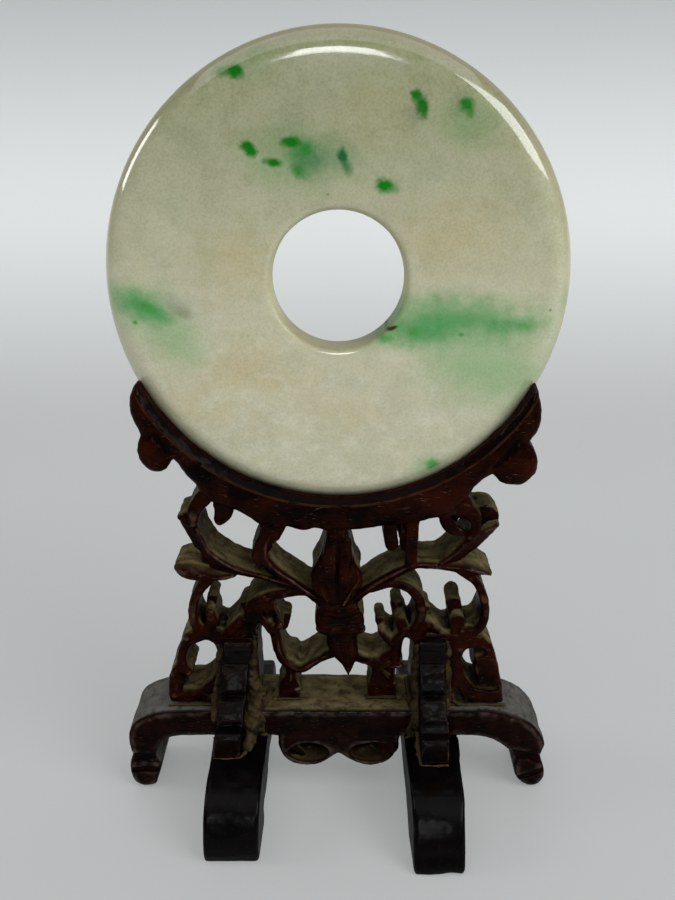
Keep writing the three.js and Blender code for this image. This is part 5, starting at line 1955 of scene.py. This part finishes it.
@dataclass
class Studio:
    """A pale floor that curves up into a wall, soft lights and the camera. Metres."""

    camera_place: Place = (0.0, -0.1058, 0.0938)
    camera_pitch: float = math.radians(21.5)
    lens: float = 34.8
    sensor: float = 36.0
    half_width: float = 1.6
    near: float = -1.4
    bend_start: float = 0.10
    bend_radius: float = 0.22
    bend_steps: int = 24
    wall_height: float = 1.6
    world: Colour = (0.80, 0.83, 0.85)
    world_strength: float = 0.10

    def sweep(self, material: bpy.types.Material) -> None:
        """Builds the floor and the wall as one curved sheet."""
        line = [(self.near, 0.0), (self.bend_start, 0.0)]
        for i in range(1, self.bend_steps + 1):
            a = math.pi / 2 * i / self.bend_steps
            out, up = self.bend_radius * math.sin(a), self.bend_radius * (1 - math.cos(a))
            line.append((self.bend_start + out, up))
        line.append((self.bend_start + self.bend_radius, self.wall_height))
        points = [(side * self.half_width, y, z) for y, z in line for side in (-1, 1)]
        faces = [(2 * i, 2 * i + 1, 2 * i + 3, 2 * i + 2) for i in range(len(line) - 1)]
        mesh = bpy.data.meshes.new("studio_floor")
        mesh.from_pydata(points, [], faces)
        mesh.shade_smooth()
        mesh.materials.append(material)
        floor = bpy.data.objects.new("studio_floor", mesh)
        bpy.context.scene.collection.objects.link(floor)

    def light(self, name: str, place: Sequence[float], target: Sequence[float], size: Point, power: float,
              colour: Colour) -> None:
        """Adds one soft rectangular light.

        Args:
            name: Its name.
            place: Where it stands.
            target: What it looks at.
            size: Its width and height.
            power: Its power in watts.
            colour: Its colour.
        """
        lamp = bpy.data.lights.new(name, "AREA")
        lamp.shape = "RECTANGLE"
        lamp.size, lamp.size_y = size
        lamp.energy, lamp.color = power, colour
        holder = bpy.data.objects.new(name, lamp)
        holder.location = place
        holder.rotation_euler = (Vector(target) - Vector(place)).to_track_quat("-Z", "Y").to_euler()
        bpy.context.scene.collection.objects.link(holder)

    def lights(self) -> None:
        """Adds the soft lights and the pale surroundings."""
        middle, disc = (0.0, 0.0, 0.05), (0.0, 0.0, 0.09)
        white, daylight = (1.0, 1.0, 1.0), (0.98, 0.99, 1.0)
        self.light("overhead", (0.0, -0.10, 0.85), middle, (1.3, 1.0), 4.6, white)
        self.light("front_window", (0.0, -0.40, 0.233), (0.0, 0.0, 0.1), (0.075, 0.10), 0.26, daylight)
        self.light("right_window", (0.367, -0.229, 0.35), disc, (0.34, 0.22), 1.35, daylight)
        self.light("left_window", (-0.45, 0.02, 0.30), disc, (0.14, 0.17), 0.55, daylight)
        world = bpy.data.worlds.new("studio_air")
        world.use_nodes = True
        world.node_tree.nodes["Background"].inputs["Color"].default_value = (*self.world, 1.0)
        world.node_tree.nodes["Background"].inputs["Strength"].default_value = self.world_strength
        bpy.context.scene.world = world

    def camera(self) -> None:
        """Adds the camera and makes it the scene's."""
        data = bpy.data.cameras.new("camera")
        data.sensor_width, data.lens, data.clip_start = self.sensor, self.lens, 0.005
        holder = bpy.data.objects.new("camera", data)
        holder.location = self.camera_place
        holder.rotation_euler = (math.pi / 2 - self.camera_pitch, 0.0, 0.0)
        bpy.context.scene.collection.objects.link(holder)
        bpy.context.scene.camera = holder


PANEL_WOOD = Rosewood(
    "carved rosewood",
    patches=(
        ((-17.0, 50.6), (3.4, 1.3), -1.0), ((-11.0, 47.8), (3.2, 0.9), -1.0), ((0.0, 44.5), (9.0, 2.0), -0.2),
        ((14.5, 46.5), (6.0, 2.2), 0.5), ((24.6, 50.5), (2.4, 2.2), 0.45), ((-24.2, 52.5), (2.2, 2.2), 0.5),
        ((-25.0, 59.0), (1.6, 3.0), 0.4), ((-9.0, 35.0), (1.6, 1.2), -0.8), ((-12.0, 27.0), (2.0, 3.0), -0.5),
    ),
    clean=(((0.0, 66.0), (40.0, 23.5), 1.0),),
    lip=(0.0, 74.25, 28.3),
)
RAIL_WOOD = Rosewood(
    "blackened rosewood", dark=(0.0014, 0.0005, 0.0004), red=(0.0150, 0.0030, 0.0018),
    worn=(0.0900, 0.0600, 0.0450), edge_wear_and_highlight=0.55, dust_behind=(-3.9, -3.3), ash_and_sheen_beyond=(14.0, 19.0),
    pore_share=0.3, seed=13.0, clean=(((-4.2, 6.3), (3.4, 2.4), 0.7), ((5.0, 6.3), (3.6, 2.4), 0.7)),
)
FOOT_WOOD = Rosewood(
    "black waxed rosewood", dark=(0.0006, 0.0006, 0.0008), red=(0.0024, 0.0010, 0.0009), dusty=0.0,
    edge_wear_and_highlight=0.15, gloss=0.40, sheen=0.13, polish=0.28, pore_share=0.08, lines=2.2,
    stretch=(1.0, 5.0, 5.0), seed=29.0,
)
BRACKET_WOOD = Rosewood(
    "black bracket wood", dark=(0.0010, 0.0008, 0.0009), red=(0.0070, 0.0022, 0.0018), dusty=0.0,
    edge_wear_and_highlight=0.35, gloss=0.4, sheen=0.15, polish=0.3, pore_share=0.12, stretch=(5.0, 1.0, 1.0), seed=37.0,
)
GLUE = Glue("old glue")
CHIPS = Glue("pale specks", light=(0.22, 0.19, 0.14), brown=(0.09, 0.07, 0.05), seed=5.0)
FLOOR = PlainFinish("pale floor", colour=(0.87, 0.895, 0.89), roughness=0.34)


def build_feet() -> None:
    """Carves the two cross feet. The right one slopes at its front toe."""
    wood = FOOT_WOOD.material()
    Foot("left_cross_foot", "left_foot", middle=-13.95, front_reach=18.2, sloping_toe=False,
         narrowing=(0.0, 0.5), seed=41).build(wood)
    Foot("right_cross_foot", "right_foot", middle=13.5, front_reach=20.15, sloping_toe=True,
         narrowing=(0.4, 0.6), seed=43).build(wood)


def build_brackets() -> None:
    """Carves the four brackets. The front ones reach higher, and the left one of them leans."""
    wood = BRACKET_WOOD.material()
    front = dict(panel_face=2.7, rail_face=4.1, top=25.3, ahead=-1)
    back = dict(panel_face=3.9, rail_face=4.9, top=23.6, ahead=1)
    for name, node, foot_x, top_x, seat, seed, side in (
        ("left_front_bracket", "front_left_bracket", -15.6, -13.75, 8.6, 51, front),
        ("right_front_bracket", "front_right_bracket", 13.5, 13.2, 9.9, 53, front),
        ("left_back_bracket", "back_left_bracket", -13.95, -13.95, 9.4, 55, back),
        ("right_back_bracket", "back_right_bracket", 13.5, 13.5, 9.4, 57, back),
    ):
        Bracket(name, node, foot_x, top_x, seat, seed=seed, **side).build(wood)


def build_glue() -> None:
    """Adds the old glue and the pale chips."""
    glue = OldGlue()
    finish = GLUE.material()
    glue.fillets(finish)
    glue.seams(finish)
    glue.specks(CHIPS.material())


def main() -> None:
    """Builds every piece and the studio."""
    logging.basicConfig(level=logging.INFO, format="%(name)s: %(message)s")
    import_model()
    bpy.context.scene.view_settings.view_transform = "Standard"
    studio = Studio()
    studio.camera()
    disc = JadeDisc()
    disc.build(Jade(disc).material())
    CarvedPanel(disc).build(PANEL_WOOD.material())
    BaseRail().build(RAIL_WOOD.material())
    build_feet()
    build_brackets()
    build_glue()
    studio.sweep(FLOOR.material())
    studio.lights()


if __name__ == "__main__":
    main()
